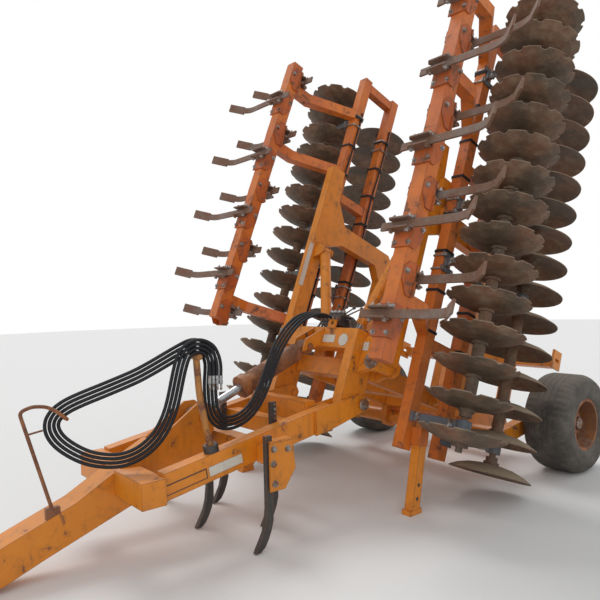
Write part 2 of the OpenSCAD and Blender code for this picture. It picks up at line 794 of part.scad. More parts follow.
// A hanger blade, its foot and its bearing, from the gang beam's face at p to the gang
// axis at g, both [x, y]
module hanger(p, g, z) {
    v = g - p;
    block([p[0], p[1] - 42, z - hanger_h / 2 - 4], [p[0] + 30, p[1] - 10, z + hanger_h / 2 + 4]);
    translate([p[0], p[1], z])
        rotate([0, 0, atan2(v[1], v[0])])
            block([0, -38, -hanger_h / 2], [norm(v) - 20, hanger_t - 38, hanger_h / 2]);
    difference() {
        translate([g[0], g[1], z - bearing_w / 2]) cylinder(h = bearing_w, d = bearing_d);
        translate([g[0], g[1], z - bearing_w]) cylinder(h = 2 * bearing_w, r = gang_shaft_d / 2 + fit);
    }
}
module gang_hangers_part(side) {
    color("#5C6470") wing_side(side)
        for (k = hanger_slots) {
            hanger([gang_beam_x + gang_beam / 2, gang2_y], [front_gang[0], front_gang[1]],
                   front_gang[2] + (k + 0.5) * disc_pitch);
            hanger([gang_beam_x + gang_beam / 2, gang3_y + 10], [rear_gang[0], rear_gang[1]],
                   rear_gang[2] + (k + 0.5) * disc_pitch);
        }
}

// One dished disc, concave towards +Z, notched where notches is above 0
module dished_disc(notches) {
    r = disc_d / 2;
    bore = gang_shaft_d / 2 + fit;
    difference() {
        rotate_extrude($fn = 72)
            polygon([[bore, 0], [r * 0.3, 0], [r * 0.55, dish * 0.16], [r * 0.8, dish * 0.52], [r, dish],
                     [r - 2, dish + disc_t], [r * 0.8 - 2, dish * 0.52 + disc_t],
                     [r * 0.55 - 1, dish * 0.16 + disc_t], [r * 0.3, disc_t], [bore, disc_t]]);
        if (notches > 0)
            for (i = [0 : notches - 1])
                rotate([0, 0, i * 360 / notches])
                    translate([r + 12, 0, -10])
                        cylinder(h = dish + 40, r = notch_r, $fn = 24);
    }
}
// Discs of one gang from the axis point g, dished up the gang or down it
module gang_discs(g, up, notches) {
    for (k = [0 : disc_count - 1])
        translate([g[0], g[1], g[2] + k * disc_pitch])
            mirror([0, 0, up ? 0 : 1])
                rotate([0, 0, k * 23])
                    dished_disc(notches);
}
// Gang shaft with its spools, clear of the bearings
module gang_shaft(g, up) {
    s = up ? 1 : -1;
    translate([g[0], g[1], g[2]]) {
        translate([0, 0, -60]) cylinder(h = (disc_count - 1) * disc_pitch + 120, d = gang_shaft_d);
        for (k = [0 : disc_count - 1])
            translate([0, 0, k * disc_pitch]) {
                translate([0, 0, s > 0 ? -22 : 0]) cylinder(h = 22, d = spool_flange_d);
                translate([0, 0, s > 0 ? disc_t : -disc_t - 22]) cylinder(h = 22, d = spool_flange_d);
            }
        for (k = [0 : disc_count - 2])
            if (len(search(k, hanger_slots)) == 0)
                translate([0, 0, k * disc_pitch + 20]) cylinder(h = disc_pitch - 40, d = spool_d);
            else
                for (z = [20, disc_pitch - 60])
                    translate([0, 0, k * disc_pitch + z]) cylinder(h = 40, d = spool_d);
    }
}
module front_discs_part(side) {
    color(c_disc) wing_side(side) gang_discs(front_gang, true, notch_count);
}
module rear_discs_part(side) {
    color(c_disc) wing_side(side) gang_discs(rear_gang, false, 0);
}
module front_shaft_part(side) {
    color(c_disc) wing_side(side) gang_shaft(front_gang, true);
}
module rear_shaft_part(side) {
    color(c_disc) wing_side(side) gang_shaft(rear_gang, false);
}

// A leaf tine that bends forward into a shovel, with its clamp plates.
// y is the leaf's middle, face the side of the beam it is clamped to
module leaf_tine(y, z, face) {
    t = leaf_t / 2;
    bend_x = 1500;
    bend_r = 260;
    bend = [for (a = [0 : 8 : 48]) [bend_x + bend_r * sin(a), y - bend_r * (1 - cos(a))]];
    edge = [for (a = [0 : 8 : 48]) [sin(a), cos(a)]];
    n = len(bend);
    shank = concat(
        [[890, y + t]],
        [for (i = [0 : n - 1]) bend[i] + t * edge[i]],
        [for (i = [n - 1 : -1 : 0]) bend[i] - t * edge[i]],
        [[890, y - t]]);
    tip = bend[n - 1];
    color(c_steel) {
        flat_plate(shank, z - leaf_w / 2, z + leaf_w / 2);
        flat_plate([tip + [-70, 50], tip + [-62, 66], tip + [58, -50], tip + [50, -66]],
                   z - shovel_w / 2, z + shovel_w / 2);
    }
    reach = face > 0 ? [y + t, front_beam_y - tine_beam / 2] : [front_beam_y + tine_beam / 2, y - t];
    color(c_faded) {
        block([tine_beam_x - 45, reach[0], z - leaf_w / 2], [tine_beam_x + 45, reach[1], z + leaf_w / 2]);
        for (s = [-1, 1]) {
            z0 = z + s * (leaf_w / 2 + 6) - 6;
            y0 = face > 0 ? y - 55 : front_beam_y + tine_beam / 2;
            y1 = face > 0 ? front_beam_y - tine_beam / 2 : y + 55;
            flat_plate([[tine_beam_x - 60, y1], [tine_beam_x - 110, y0 + 30], [tine_beam_x - 90, y0],
                        [tine_beam_x + 80, y0], [tine_beam_x + 60, y1]], z0, z0 + 12);
        }
    }
}
module tines_part(side) {
    name = side > 0 ? "left" : "right";
    wing_side(side)
        for (row = tine_rows)
            if (row[0] == name)
                for (k = [0 : row[3] - 1])
                    if (row[1] == "front")
                        leaf_tine(front_beam_y - tine_beam / 2 - 40, row[2] + k * tine_pitch, 1);
                    else
                        leaf_tine(front_beam_y + tine_beam / 2 + 60, row[2] + k * tine_pitch, -1);
}

// Fold cylinder frame: origin on the wing's pin, -Z towards the chassis pin
fold_len = norm(fold_cyl_top - fold_cyl_base);
fold_angle = atan2(fold_cyl_top[0] - fold_cyl_base[0], fold_cyl_top[1] - fold_cyl_base[1]);
module fold_cylinder_frame() {
    translate([fold_cyl_top[0], fold_cyl_y, fold_cyl_top[1]])
        rotate([0, fold_angle, 0])
            children();
}
fold_barrel_len = 780;
module fold_barrel_part(side) {
    color(c_faded) wing_side(side) fold_cylinder_frame()
        difference() {
            union() {
                rod([0, -45, 0], [0, 45, 0], 40);
                rod([0, -65, 0], [0, 65, 0], 20);
                rod([0, 0, -30], [0, 0, -fold_barrel_len], fold_barrel_d / 2);
            }
            rod([0, 0, -80], [0, 0, -fold_barrel_len - 5], fold_rod_d / 2 + fit);
        }
}
module fold_rod_part(side) {
    color(c_chrome) wing_side(side) fold_cylinder_frame() {
        rod([0, 0, -150], [0, 0, 35 - fold_len], fold_rod_d / 2);
        rod([0, -40, -fold_len], [0, 40, -fold_len], 42);
    }
}

portal();
valve_block();
chassis_rails();
rear_frame();
drawbar_nose();
drawbar_side_beams();
drawbar_cross_tubes();
drawbar_tines();
hitch_eye();
hose_supports();
drawbar_barrel();
drawbar_rod();
hose(0);  // hose_1
hose(1);  // hose_2
hose(2);  // hose_3
hose(3);  // hose_4
hose_couplers();
wheel_arms();
tyre(1);  // tyre_left
rim(1);  // rim_left
tyre(-1);  // tyre_right
rim(-1);  // rim_right
tine_beam_part(1);  // tine_beam_left
wing_arms_part(1);  // wing_arms_left
gang_beams_part(1);  // gang_beams_left
fold_frame_part(1);  // fold_frame_left
gang_hangers_part(1);  // gang_hangers_left
tines_part(1);  // tines_left
stand_leg_part(1);  // stand_leg_left
front_discs_part(1);  // front_discs_left
front_shaft_part(1);  // front_shaft_left
rear_discs_part(1);  // rear_discs_left
rear_shaft_part(1);  // rear_shaft_left
fold_barrel_part(1);  // fold_barrel_left
fold_rod_part(1);  // fold_rod_left
tine_beam_part(-1);  // tine_beam_right
wing_arms_part(-1);  // wing_arms_right
gang_beams_part(-1);  // gang_beams_right
fold_frame_part(-1);  // fold_frame_right
gang_hangers_part(-1);  // gang_hangers_right
tines_part(-1);  // tines_right
stand_leg_part(-1);  // stand_leg_right
front_discs_part(-1);  // front_discs_right
front_shaft_part(-1);  // front_shaft_right
rear_discs_part(-1);  // rear_discs_right
rear_shaft_part(-1);  // rear_shaft_right
fold_barrel_part(-1);  // fold_barrel_right
fold_rod_part(-1);  // fold_rod_right
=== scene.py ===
"""Trailed folding disc harrow, dressed for rendering.

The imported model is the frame. This script adds the fixings, hoses, tyres, plates and
pipes that the solids leave out, and gives every node and piece a weathered finish.
"""
import json
import math
import random

import bmesh
import bpy
from bpy.props import FloatProperty, FloatVectorProperty, IntProperty, PointerProperty
from mathutils import Matrix, Vector


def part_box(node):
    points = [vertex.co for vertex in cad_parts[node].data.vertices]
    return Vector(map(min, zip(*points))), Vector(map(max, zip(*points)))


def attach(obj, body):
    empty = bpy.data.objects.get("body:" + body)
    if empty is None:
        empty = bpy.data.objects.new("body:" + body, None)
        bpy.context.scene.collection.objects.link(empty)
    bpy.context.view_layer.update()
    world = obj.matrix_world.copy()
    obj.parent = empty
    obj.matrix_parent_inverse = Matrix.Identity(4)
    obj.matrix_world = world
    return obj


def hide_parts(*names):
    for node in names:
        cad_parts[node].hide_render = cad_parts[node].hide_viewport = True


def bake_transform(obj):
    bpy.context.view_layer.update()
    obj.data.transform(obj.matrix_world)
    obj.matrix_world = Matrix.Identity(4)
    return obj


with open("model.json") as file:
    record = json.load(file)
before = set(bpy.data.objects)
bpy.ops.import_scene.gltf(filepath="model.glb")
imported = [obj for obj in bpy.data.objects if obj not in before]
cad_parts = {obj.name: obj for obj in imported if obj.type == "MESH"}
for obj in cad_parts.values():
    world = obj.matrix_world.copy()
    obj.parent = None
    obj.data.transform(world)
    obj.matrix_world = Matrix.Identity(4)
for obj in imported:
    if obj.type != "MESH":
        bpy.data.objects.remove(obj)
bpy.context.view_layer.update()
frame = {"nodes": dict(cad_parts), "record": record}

bl_info = {
    "name": "Disc Harrow Dressing",
    "version": (1, 0, 0),
    "blender": (4, 5, 0),
    "location": "View3D > Sidebar > Harrow",
    "description": "Adds fixings, hoses, tyres and weathered finishes to a folding disc harrow",
    "category": "Object",
}

# Places and sizes as in the part's source, in millimetres, and angles in radians
PITCH = math.radians(21.8)
PIN_Y = 332.5
PIN_Z = 780.0
SIDE_BEAM_X = 420
BEAM_SLOPE = math.radians(9.46)
# x and z of the wings' fold hinges, and y of the faces that their pin heads lie on
FOLD_X, FOLD_Z = 600, 330
FOLD_PIN_Y = (-126, 874)
GANG_X, FRONT_GANG_BEAM_Y, REAR_GANG_BEAM_Y = 793, 220, 677
GANG_BEAM = 100
# x and y of each gang's shaft, and z of its lowest disc
FRONT_GANG = (1254, 271, -123)
REAR_GANG = (1123, 927, -178)
DISC_PITCH = 252
# Gaps between discs that hold a hanger, counted from the lowest
HANGER_SLOTS = (0, 5, 7, 12)
TINE_X, TINE_Y = 1083, -535
TINE_BEAM, TINE_LEAF = 120, 60
TINE_PITCH = 648
STAND_LEG = 78
STAND_X, STAND_Z = GANG_X + GANG_BEAM / 2 + STAND_LEG / 2 + 6, -60
# Width across the flats of each kind of bolt, in metres
BOLT = {"hanger": 0.022, "bracket": 0.024, "clamp": 0.026, "wheel": 0.027, "leg": 0.028,
        "valve": 0.030, "hinge": 0.034, "fold": 0.036}


def chassis_point(x, y, z):
    """A point of the tilted chassis frame, in metres of the row frame."""
    c, s = math.cos(PITCH), math.sin(PITCH)
    return Vector((x, PIN_Y + y * c + z * s, PIN_Z - y * s + z * c)) / 1000


def level_point(x, y, z):
    """A point given level, y from the hinge pin and z from the floor."""
    return Vector((x, PIN_Y + y, z)) / 1000


def chassis_axis(x, y, z):
    """A direction of the tilted chassis frame."""
    return (chassis_point(x, y, z) - chassis_point(0, 0, 0)).normalized()


def turns(count, start=0.0):
    """Angles that divide a full turn into equal steps."""
    return [start + 2 * math.pi * k / count for k in range(count)]


def ring(centre, side, up, radius, sides, start=0.0):
    """A round ring of points in the plane of side and up."""
    return [centre + (side * math.cos(a) + up * math.sin(a)) * radius for a in turns(sides, start)]


def rectangle(left, right, low, high):
    """Corners of a rectangle, as an outline for a plate."""
    return [(left, low), (right, low), (right, high), (left, high)]


def panel(half_width, half_height):
    """Corners of a rectangle round its middle."""
    return rectangle(-half_width, half_width, -half_height, half_height)


def rounded(points, radius, steps):
    """The path with its corners turned into arcs."""
    out = [points[0]]
    for a, b, c in zip(points, points[1:], points[2:]):
        u, v = (a - b), (c - b)
        reach = min(radius, u.length * 0.45, v.length * 0.45)
        p, q = b + u.normalized() * reach, b + v.normalized() * reach
        for i in range(steps + 1):
            t = i / steps
            out.append(p * (1 - t) ** 2 + b * 2 * t * (1 - t) + q * t * t)
    out.append(points[-1])
    return out


def curve_through(points, steps):
    """A smooth path through the points."""
    out = []
    for i in range(len(points) - 1):
        a, b = points[max(i - 1, 0)], points[i]
        c, d = points[i + 1], points[min(i + 2, len(points) - 1)]
        for k in range(steps):
            t = k / steps
            out.append(0.5 * ((2 * b) + (c - a) * t + (2 * a - 5 * b + 4 * c - d) * t * t
                              + (3 * b - a - 3 * c + d) * t ** 3))
    out.append(points[-1])
    return out


# Settings on the panel

class HarrowPaint(bpy.types.PropertyGroup):
    orange: FloatVectorProperty(
        name="Orange", description="Sound paint of the chassis and the drawbar",
        default=(0.76, 0.245, 0.012), size=3, subtype="COLOR", min=0, max=1)
    faded: FloatVectorProperty(
        name="Faded orange", description="Paint that the sun has turned redder",
        default=(0.52, 0.115, 0.016), size=3, subtype="COLOR", min=0, max=1)
    rust: FloatVectorProperty(
        name="Rust", description="Rust where the paint is gone",
        default=(0.115, 0.045, 0.022), size=3, subtype="COLOR", min=0, max=1)
    soil: FloatVectorProperty(
        name="Soil", description="Dry soil on the discs",
        default=(0.33, 0.25, 0.165), size=3, subtype="COLOR", min=0, max=1)


class HarrowSizes(bpy.types.PropertyGroup):
    hose_diameter: FloatProperty(
        name="Hose", description="Outside diameter of a hydraulic hose",
        default=0.022, min=0.016, max=0.026, unit="LENGTH")
    bolt_scale: FloatProperty(
        name="Bolt scale", description="Size of every bolt head against the usual one",
        default=1.0, min=0.8, max=1.2, subtype="FACTOR")
    bar_radius: FloatProperty(
        name="U-bolt", description="Radius of the bar that the U-bolts are bent from",
        default=0.009, min=0.006, max=0.012, unit="LENGTH")
    tread_blocks: IntProperty(
        name="Tread grooves", description="Shallow grooves round each worn tyre",
        default=46, min=20, max=80)
    seed: IntProperty(
        name="Seed", description="Start of the random draws for the turns of bolts",
        default=7, min=0, max=999)


def paint():
    return bpy.context.scene.harrow_paint


def sizes():
    return bpy.context.scene.harrow_sizes


# Shader maths

class Wire:
    """A socket in a tree of nodes. Arithmetic on it adds Math nodes."""

    def __init__(self, tree, socket):
        self.tree = tree
        self.socket = socket

    def _math(self, operation, *values, clamp=False):
        return self.tree.node("ShaderNodeMath", {"operation": operation, "use_clamp": clamp},
                              dict(enumerate(values)))

    def __add__(self, other):
        return self._math("ADD", self, other)

    def __sub__(self, other):
        return self._math("SUBTRACT", self, other)

    def __rsub__(self, other):
        return self._math("SUBTRACT", other, self)

    def __mul__(self, other):
        return self._math("MULTIPLY", self, other)

    __radd__ = __add__
    __rmul__ = __mul__

    def clamp(self):
        """The same value, held between 0 and 1."""
        return self._math("ADD", self, 0.0, clamp=True)

    def step(self, low, high):
        """0 below low, 1 above high, and a smooth rise between."""
        return self.tree.node("ShaderNodeMapRange", {"interpolation_type": "SMOOTHSTEP"},
                              {"Value": self, "From Min": low, "From Max": high})


class Tree:
    """The nodes of a material or of the world, each made through node()."""

    def __init__(self, owner):
        owner.use_nodes = True
        self.nodes = owner.node_tree.nodes
        self.links = owner.node_tree.links
        self.nodes.clear()

    def node(self, kind, settings=None, values=None, out=0):
        """Adds a node, and returns the wire from one of its outputs if it has any."""
        made = self.nodes.new(kind)
        for key, value in (settings or {}).items():
            setattr(made, key, value)
        for key, value in (values or {}).items():
            socket = made.inputs[key]
            if isinstance(value, Wire):
                self.links.new(value.socket, socket)
            elif socket.type == "RGBA":
                socket.default_value = (*value[:3], 1)
            else:
                socket.default_value = value
        return Wire(self, made.outputs[out]) if made.outputs else None


class Finish(Tree):
    """One material."""

    def __init__(self, name):
        self.material = bpy.data.materials.new(name)
        super().__init__(self.material)
        self.place = self.node("ShaderNodeTexCoord", out="Object")

    def noise(self, scale, detail=6.0, roughness=0.6, stretch=None, warp=0.0):
        vector = self.place
        if stretch:
            vector = self.node("ShaderNodeVectorMath", {"operation": "MULTIPLY"},
                               {0: self.place, 1: stretch})
        return self.node("ShaderNodeTexNoise", None,
                         {"Vector": vector, "Scale": scale, "Detail": detail,
                          "Roughness": roughness, "Distortion": warp})

    def mix(self, factor, a, b):
        """Colour a where factor is 0 and colour b where it is 1."""
        # Sockets 6 and 7 are the node's colours, and output 2 is its mixed colour
        return self.node("ShaderNodeMix", {"data_type": "RGBA"}, {0: factor, 6: a, 7: b}, out=2)

    def upward(self):
        """1 on faces that look up at rest, 0 on the others."""
        normal = self.node("ShaderNodeTexCoord", out="Normal")
        split = self.node("ShaderNodeSeparateXYZ", None, {"Vector": normal}, out="Z")
        return split.step(0.2, 0.95)

    def edges(self, radius):
        """1 along sharp edges, from the turn of the normal over a small radius."""
        round_normal = self.node("ShaderNodeBevel", {"samples": 4}, {"Radius": radius})
        flat_normal = self.node("ShaderNodeNewGeometry", out="Normal")
        same = self.node("ShaderNodeVectorMath", {"operation": "DOT_PRODUCT"},
                         {0: round_normal, 1: flat_normal}, out="Value")
        return (1.0 - same).step(0.004, 0.10)

    def set(self, colour, roughness, metallic=0.0, bump=None, height=0.002, strength=0.6,
            specular=0.5):
        """Ends the material: its shader, with a bumped normal if there is a bump."""
        values = {"Base Color": colour, "Roughness": roughness, "Metallic": metallic,
                  "Specular IOR Level": specular}
        if bump is not None:
            values["Normal"] = self.node("ShaderNodeBump", None,
                                         {"Strength": strength, "Distance": height, "Height": bump},
                                         out="Normal")
        shader = self.node("ShaderNodeBsdfPrincipled", None, values)
        self.node("ShaderNodeOutputMaterial", None, {"Surface": shader})
        return self.material


# Finishes

FINISHES = {}
DUST = (0.36, 0.29, 0.22)
DEEP_RUST = (0.175, 0.070, 0.035)
BARE_EDGE = (0.34, 0.29, 0.25)
STEEL_RUSTS = ((0.10, 0.045, 0.022), (0.25, 0.12, 0.06))


def shade(colour, share):
    """The colour made darker or lighter, up to white."""
    return tuple(min(1, c * share) for c in colour)


def painted(name, sound, tired, wear, dust, roughness):
    """Weathered paint: fading, rust from the edges and in blots, dust and streaks."""
    f = Finish(name)
    rust = tuple(paint().rust)
    broad = f.noise(1.9, 4, 0.55)
    blots = f.noise(9.0, 9, 0.68, warp=0.4)
    grain = f.noise(85.0, 5, 0.7)
    streaks = f.noise(14.0, 5, 0.6, stretch=(1.0, 1.0, 0.16))
    edge = f.edges(0.007)
    colour = f.mix(broad.step(0.35, 0.68), sound, tired)
    colour = f.mix((streaks.step(0.52, 0.72) * 0.35).clamp(), colour, shade(tired, 0.55))
    worn = (blots + edge * 0.30 + grain * 0.10).step(0.78 - wear, 0.84 - wear)
    stain = (blots + edge * 0.28).step(0.60 - wear, 0.80 - wear) * 0.6
    brown = f.mix(grain.step(0.3, 0.7), rust, shade(rust, 2.3))
    colour = f.mix(stain, colour, tuple(a * 0.5 + b * 0.45 for a, b in zip(tired, rust)))
    colour = f.mix(worn, colour, brown)
    specks = f.noise(26.0, 6, 0.7).step(0.38, 0.66) * dust
    film = (f.upward() * 0.75 + broad * 0.25) * specks
    colour = f.mix(film.clamp(), colour, DUST)
    rough = (worn * 0.34 + film * 0.25 + grain * 0.12 + roughness).clamp()
    return f.set(colour, rough, bump=grain * 0.3 + worn * -0.5 + blots * 0.15,
                 height=0.0018, strength=0.5)


def soiled(name, base, soil, cover):
    """Bare rusted steel under caked soil, as on the discs."""
    f = Finish(name)
    lumps = f.noise(11.0, 8, 0.62, warp=0.2)
    grit = f.noise(120.0, 4, 0.75)
    broad = f.noise(3.2, 5, 0.6)
    rusted = f.mix(grit.step(0.3, 0.7), shade(base, 0.55), base)
    rusted = f.mix(broad.step(0.40, 0.65), rusted, DEEP_RUST)
    caked = (lumps * 0.55 + f.upward() * 0.34 * cover + broad * 0.45).step(0.42, 0.78)
    earth = f.mix(grit.step(0.35, 0.65), shade(soil, 0.72), soil)
    colour = f.mix(caked, rusted, earth)
    clods = f.noise(34.0, 6, 0.75, warp=0.6).step(0.60, 0.70)
    colour = f.mix(clods * 0.6, colour, shade(soil, 1.35))
    colour = f.mix(f.edges(0.004) * grit.step(0.4, 0.6) * 0.55, colour, BARE_EDGE)
    return f.set(colour, caked * 0.25 + 0.62,
                 bump=lumps * 0.6 + caked * 0.3 + grit * 0.35, height=0.006, strength=0.7)


def bare_steel(name, light, dark, rusted, roughness):
    """Worn steel with brown patches."""
    f = Finish(name)
    blots = f.noise(12.0, 8, 0.65, warp=0.5)
    grain = f.noise(95.0, 4, 0.7)
    mask = (blots + grain * 0.12).step(0.72 - rusted, 0.84 - rusted)
    colour = f.mix(blots.step(0.3, 0.7), light, dark)
    colour = f.mix(mask, colour, f.mix(grain.step(0.3, 0.7), *STEEL_RUSTS))
    metal = (1.0 - mask) * 0.75
    return f.set(colour, (mask * 0.3 + grain * 0.1 + roughness).clamp(), metal,
                 bump=grain * 0.5 + mask * 0.4, height=0.001, strength=0.5)


def rubber(name, black, dust, amount, grain_scale):
    """Black rubber with dust on it."""
    f = Finish(name)
    blots = f.noise(7.0, 7, 0.65)
    grain = f.noise(grain_scale, 4, 0.7)
    cover = blots * 0.7 + grain * 0.25 + f.upward() * 0.25 * amount
    film = cover.step(0.70 - amount * 0.55, 0.98 - amount * 0.3)
    colour = f.mix(film * amount, black, dust)
    return f.set(colour, film * 0.25 + 0.60, bump=grain * 0.6 + blots * 0.4,
                 height=0.0015, strength=0.5, specular=0.3)


def make_finishes():
    """Every material by its name, with the colours that the panel holds."""
    orange, faded, soil = tuple(paint().orange), tuple(paint().faded), tuple(paint().soil)
    # Sound colour, tired colour, wear, dust, roughness
    paints = {
        "orange_paint": (orange, shade(orange, 0.86), 0.12, 0.16, 0.34),
        "faded_paint": ((0.64, 0.165, 0.014), faded, 0.14, 0.16, 0.42),
        "rusty_paint": ((0.42, 0.145, 0.035), (0.23, 0.085, 0.035), 0.26, 0.35, 0.5),
        # black_paint is real black paint, and it also colours the painted shade discs over the stands' holes
        "black_paint": ((0.020, 0.020, 0.021), (0.045, 0.040, 0.036), 0.10, 0.45, 0.45),
        "hanger_paint": ((0.075, 0.095, 0.125), (0.13, 0.125, 0.12), 0.10, 0.5, 0.42),
        "pale_patch": ((0.70, 0.66, 0.58), (0.58, 0.53, 0.45), 0.02, 0.35, 0.42),
        "post_paint": ((0.50, 0.20, 0.03), (0.30, 0.13, 0.04), 0.22, 0.2, 0.45),
        "rim_paint": ((0.42, 0.13, 0.02), (0.20, 0.08, 0.03), 0.26, 0.5, 0.5),
        "clamp_paint": ((0.55, 0.115, 0.012), (0.40, 0.08, 0.014), 0.17, 0.2, 0.45),
    }
    # Light colour, dark colour, share of rust, roughness
    steels = {
        "worn_steel": ((0.36, 0.34, 0.33), (0.22, 0.20, 0.185), 0.26, 0.45),
        "chrome_rod": ((0.46, 0.47, 0.49), (0.36, 0.37, 0.38), 0.06, 0.20),
        "coupler_steel": ((0.40, 0.40, 0.41), (0.28, 0.28, 0.275), 0.16, 0.36),
        "bolt_steel": ((0.38, 0.36, 0.34), (0.25, 0.23, 0.21), 0.20, 0.42),
    }
    # Colour of the steel, colour of the soil, share that lies on upper faces
    earths = {
        "soil_steel": ((0.125, 0.085, 0.055), soil, 1.0),
        "leaf_rust": ((0.21, 0.10, 0.055), (0.27, 0.235, 0.205), 0.7),
    }
    # Black, colour of the dust, share of dust, scale of the grain
    rubbers = {
        "tyre_rubber": ((0.035, 0.033, 0.032), (0.19, 0.165, 0.135), 0.8, 60.0),
        "hose_rubber": ((0.013, 0.014, 0.017), (0.16, 0.15, 0.14), 0.22, 160.0),
    }
    for make, rows in ((painted, paints), (bare_steel, steels), (soiled, earths), (rubber, rubbers)):
        for name, row in rows.items():
            FINISHES[name] = make(name, *row)


# Mesh tools


class Shape:
    """Collects faces in the row frame and turns them into one piece."""

    def __init__(self, name, finish):
        self.name = name
        self.finish = finish
        self.mesh = bmesh.new()

    def rings(self, rings, closed=False):
        """Skins rings of points that all have the same count. Ends are capped unless closed."""
        made = [[self.mesh.verts.new(p) for p in points] for points in rings]
        count = len(made[0])
        pairs = list(zip(made, made[1:])) + ([(made[-1], made[0])] if closed else [])
        for a, b in pairs:
            for i in range(count):
                j = (i + 1) % count
                self.mesh.faces.new((a[i], a[j], b[j], b[i]))
        if not closed:
            self.mesh.faces.new(list(reversed(made[0])))
            self.mesh.faces.new(made[-1])

    def turned(self, start, axis, profile, sides=20, twist=0.0):
        """A turned form: profile rows are (distance along axis, radius), in metres."""
        axis = Vector(axis).normalized()
        side = axis.orthogonal().normalized()
        up = axis.cross(side)
        self.rings([ring(Vector(start) + axis * along, side, up, radius, sides, twist)
                    for along, radius in profile])

    def tube(self, points, radius, sides=12):
        """A round bar along the points."""
        side = None
        rings = []
        for i, point in enumerate(points):
            along = (points[min(i + 1, len(points) - 1)] - points[max(i - 1, 0)]).normalized()
            if side is None:
                side = along.orthogonal().normalized()
            side = (side - along * side.dot(along)).normalized()
            rings.append(ring(point, side, along.cross(side), radius, sides))
        self.rings(rings)

    def plate(self, origin, right, up, outline, thickness, chamfer=0.0015):
        """A flat plate: outline in metres along right and up, raised along their normal."""
        right, up = Vector(right).normalized(), Vector(up).normalized()
        out = right.cross(up)
        middle_x = sum(p[0] for p in outline) / len(outline)
        middle_y = sum(p[1] for p in outline) / len(outline)
        rings = []
        for lift, inset in ((0, 0), (thickness - chamfer, 0), (thickness, chamfer)):
            points = []
            for x, y in outline:
                distance = math.hypot(x - middle_x, y - middle_y) or 1
                share = 1 - inset / distance
                points.append(Vector(origin) + right * (middle_x + (x - middle_x) * share)
                              + up * (middle_y + (y - middle_y) * share) + out * lift)
            rings.append(points)
        self.rings(rings)

    def bolt(self, at, axis, across, washer=True, shank=0.0):
        """A hexagon head on its washer, with a stub of thread if shank is above 0."""
        across *= sizes().bolt_scale
        axis = Vector(axis).normalized()
        at = Vector(at)
        lift = 0.0
        if washer:
            rows = [(0, across * 0.82), (0.0035, across * 0.82), (0.004, across * 0.78)]
            self.turned(at, axis, rows, 18)
            lift = 0.004
        corner = across / math.sqrt(3)
        turn = random.random() * 1.05
        rows = [(0, corner * 0.97), (0.001, corner), (across * 0.52, corner),
                (across * 0.62, corner * 0.86)]
        self.turned(at + axis * lift, axis, rows, 6, turn)
        if shank:
            rows = [(0, corner * 0.50), (shank, corner * 0.50), (shank + 0.003, corner * 0.38)]
            self.turned(at + axis * (lift + across * 0.55), axis, rows, 12)

    def u_bolt(self, points, axis):
        """A bent bar through points, with a nut and thread at each end along axis."""
        radius = sizes().bar_radius
        path = rounded(points, 0.022, 4)
        self.tube(path, radius, 10)
        for end in (path[0], path[-1]):
            self.bolt(end - Vector(axis).normalized() * 0.024, axis, radius * 3.1)

    def piece(self, body, smooth=35):
        """Ends the shape: one object, which rides on the body if one is named."""
        bmesh.ops.recalc_face_normals(self.mesh, faces=self.mesh.faces[:])
        data = bpy.data.meshes.new(self.name)
        self.mesh.to_mesh(data)
        self.mesh.free()
        made = bpy.data.objects.new(self.name, data)
        bpy.context.scene.collection.objects.link(made)
        data.materials.append(FINISHES[self.finish])
        for polygon in data.polygons:
            polygon.use_smooth = True
        data.set_sharp_from_angle(angle=math.radians(smooth))
        if body:
            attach(made, body)
        return made


# Stage

CAMERA_AT = (3.729, -2.9715, 1.648)
CAMERA_AZIMUTH = math.radians(50.076)
CAMERA_PITCH = math.radians(-0.497)
CAMERA_ROLL = math.radians(-1.458)
CAMERA_LENS = 35.297
FLOOR_RADIUS, FLOOR_MIDDLE, FLOOR_SIDES = 30.0, 6.0, 24
# Direction towards each lamp, its strength, and its spread in degrees
LAMPS = {"key": ((-0.62, 0.25, 0.95), 1.25, 28), "fill": ((0.8, -0.75, 0.5), 0.55, 60)}


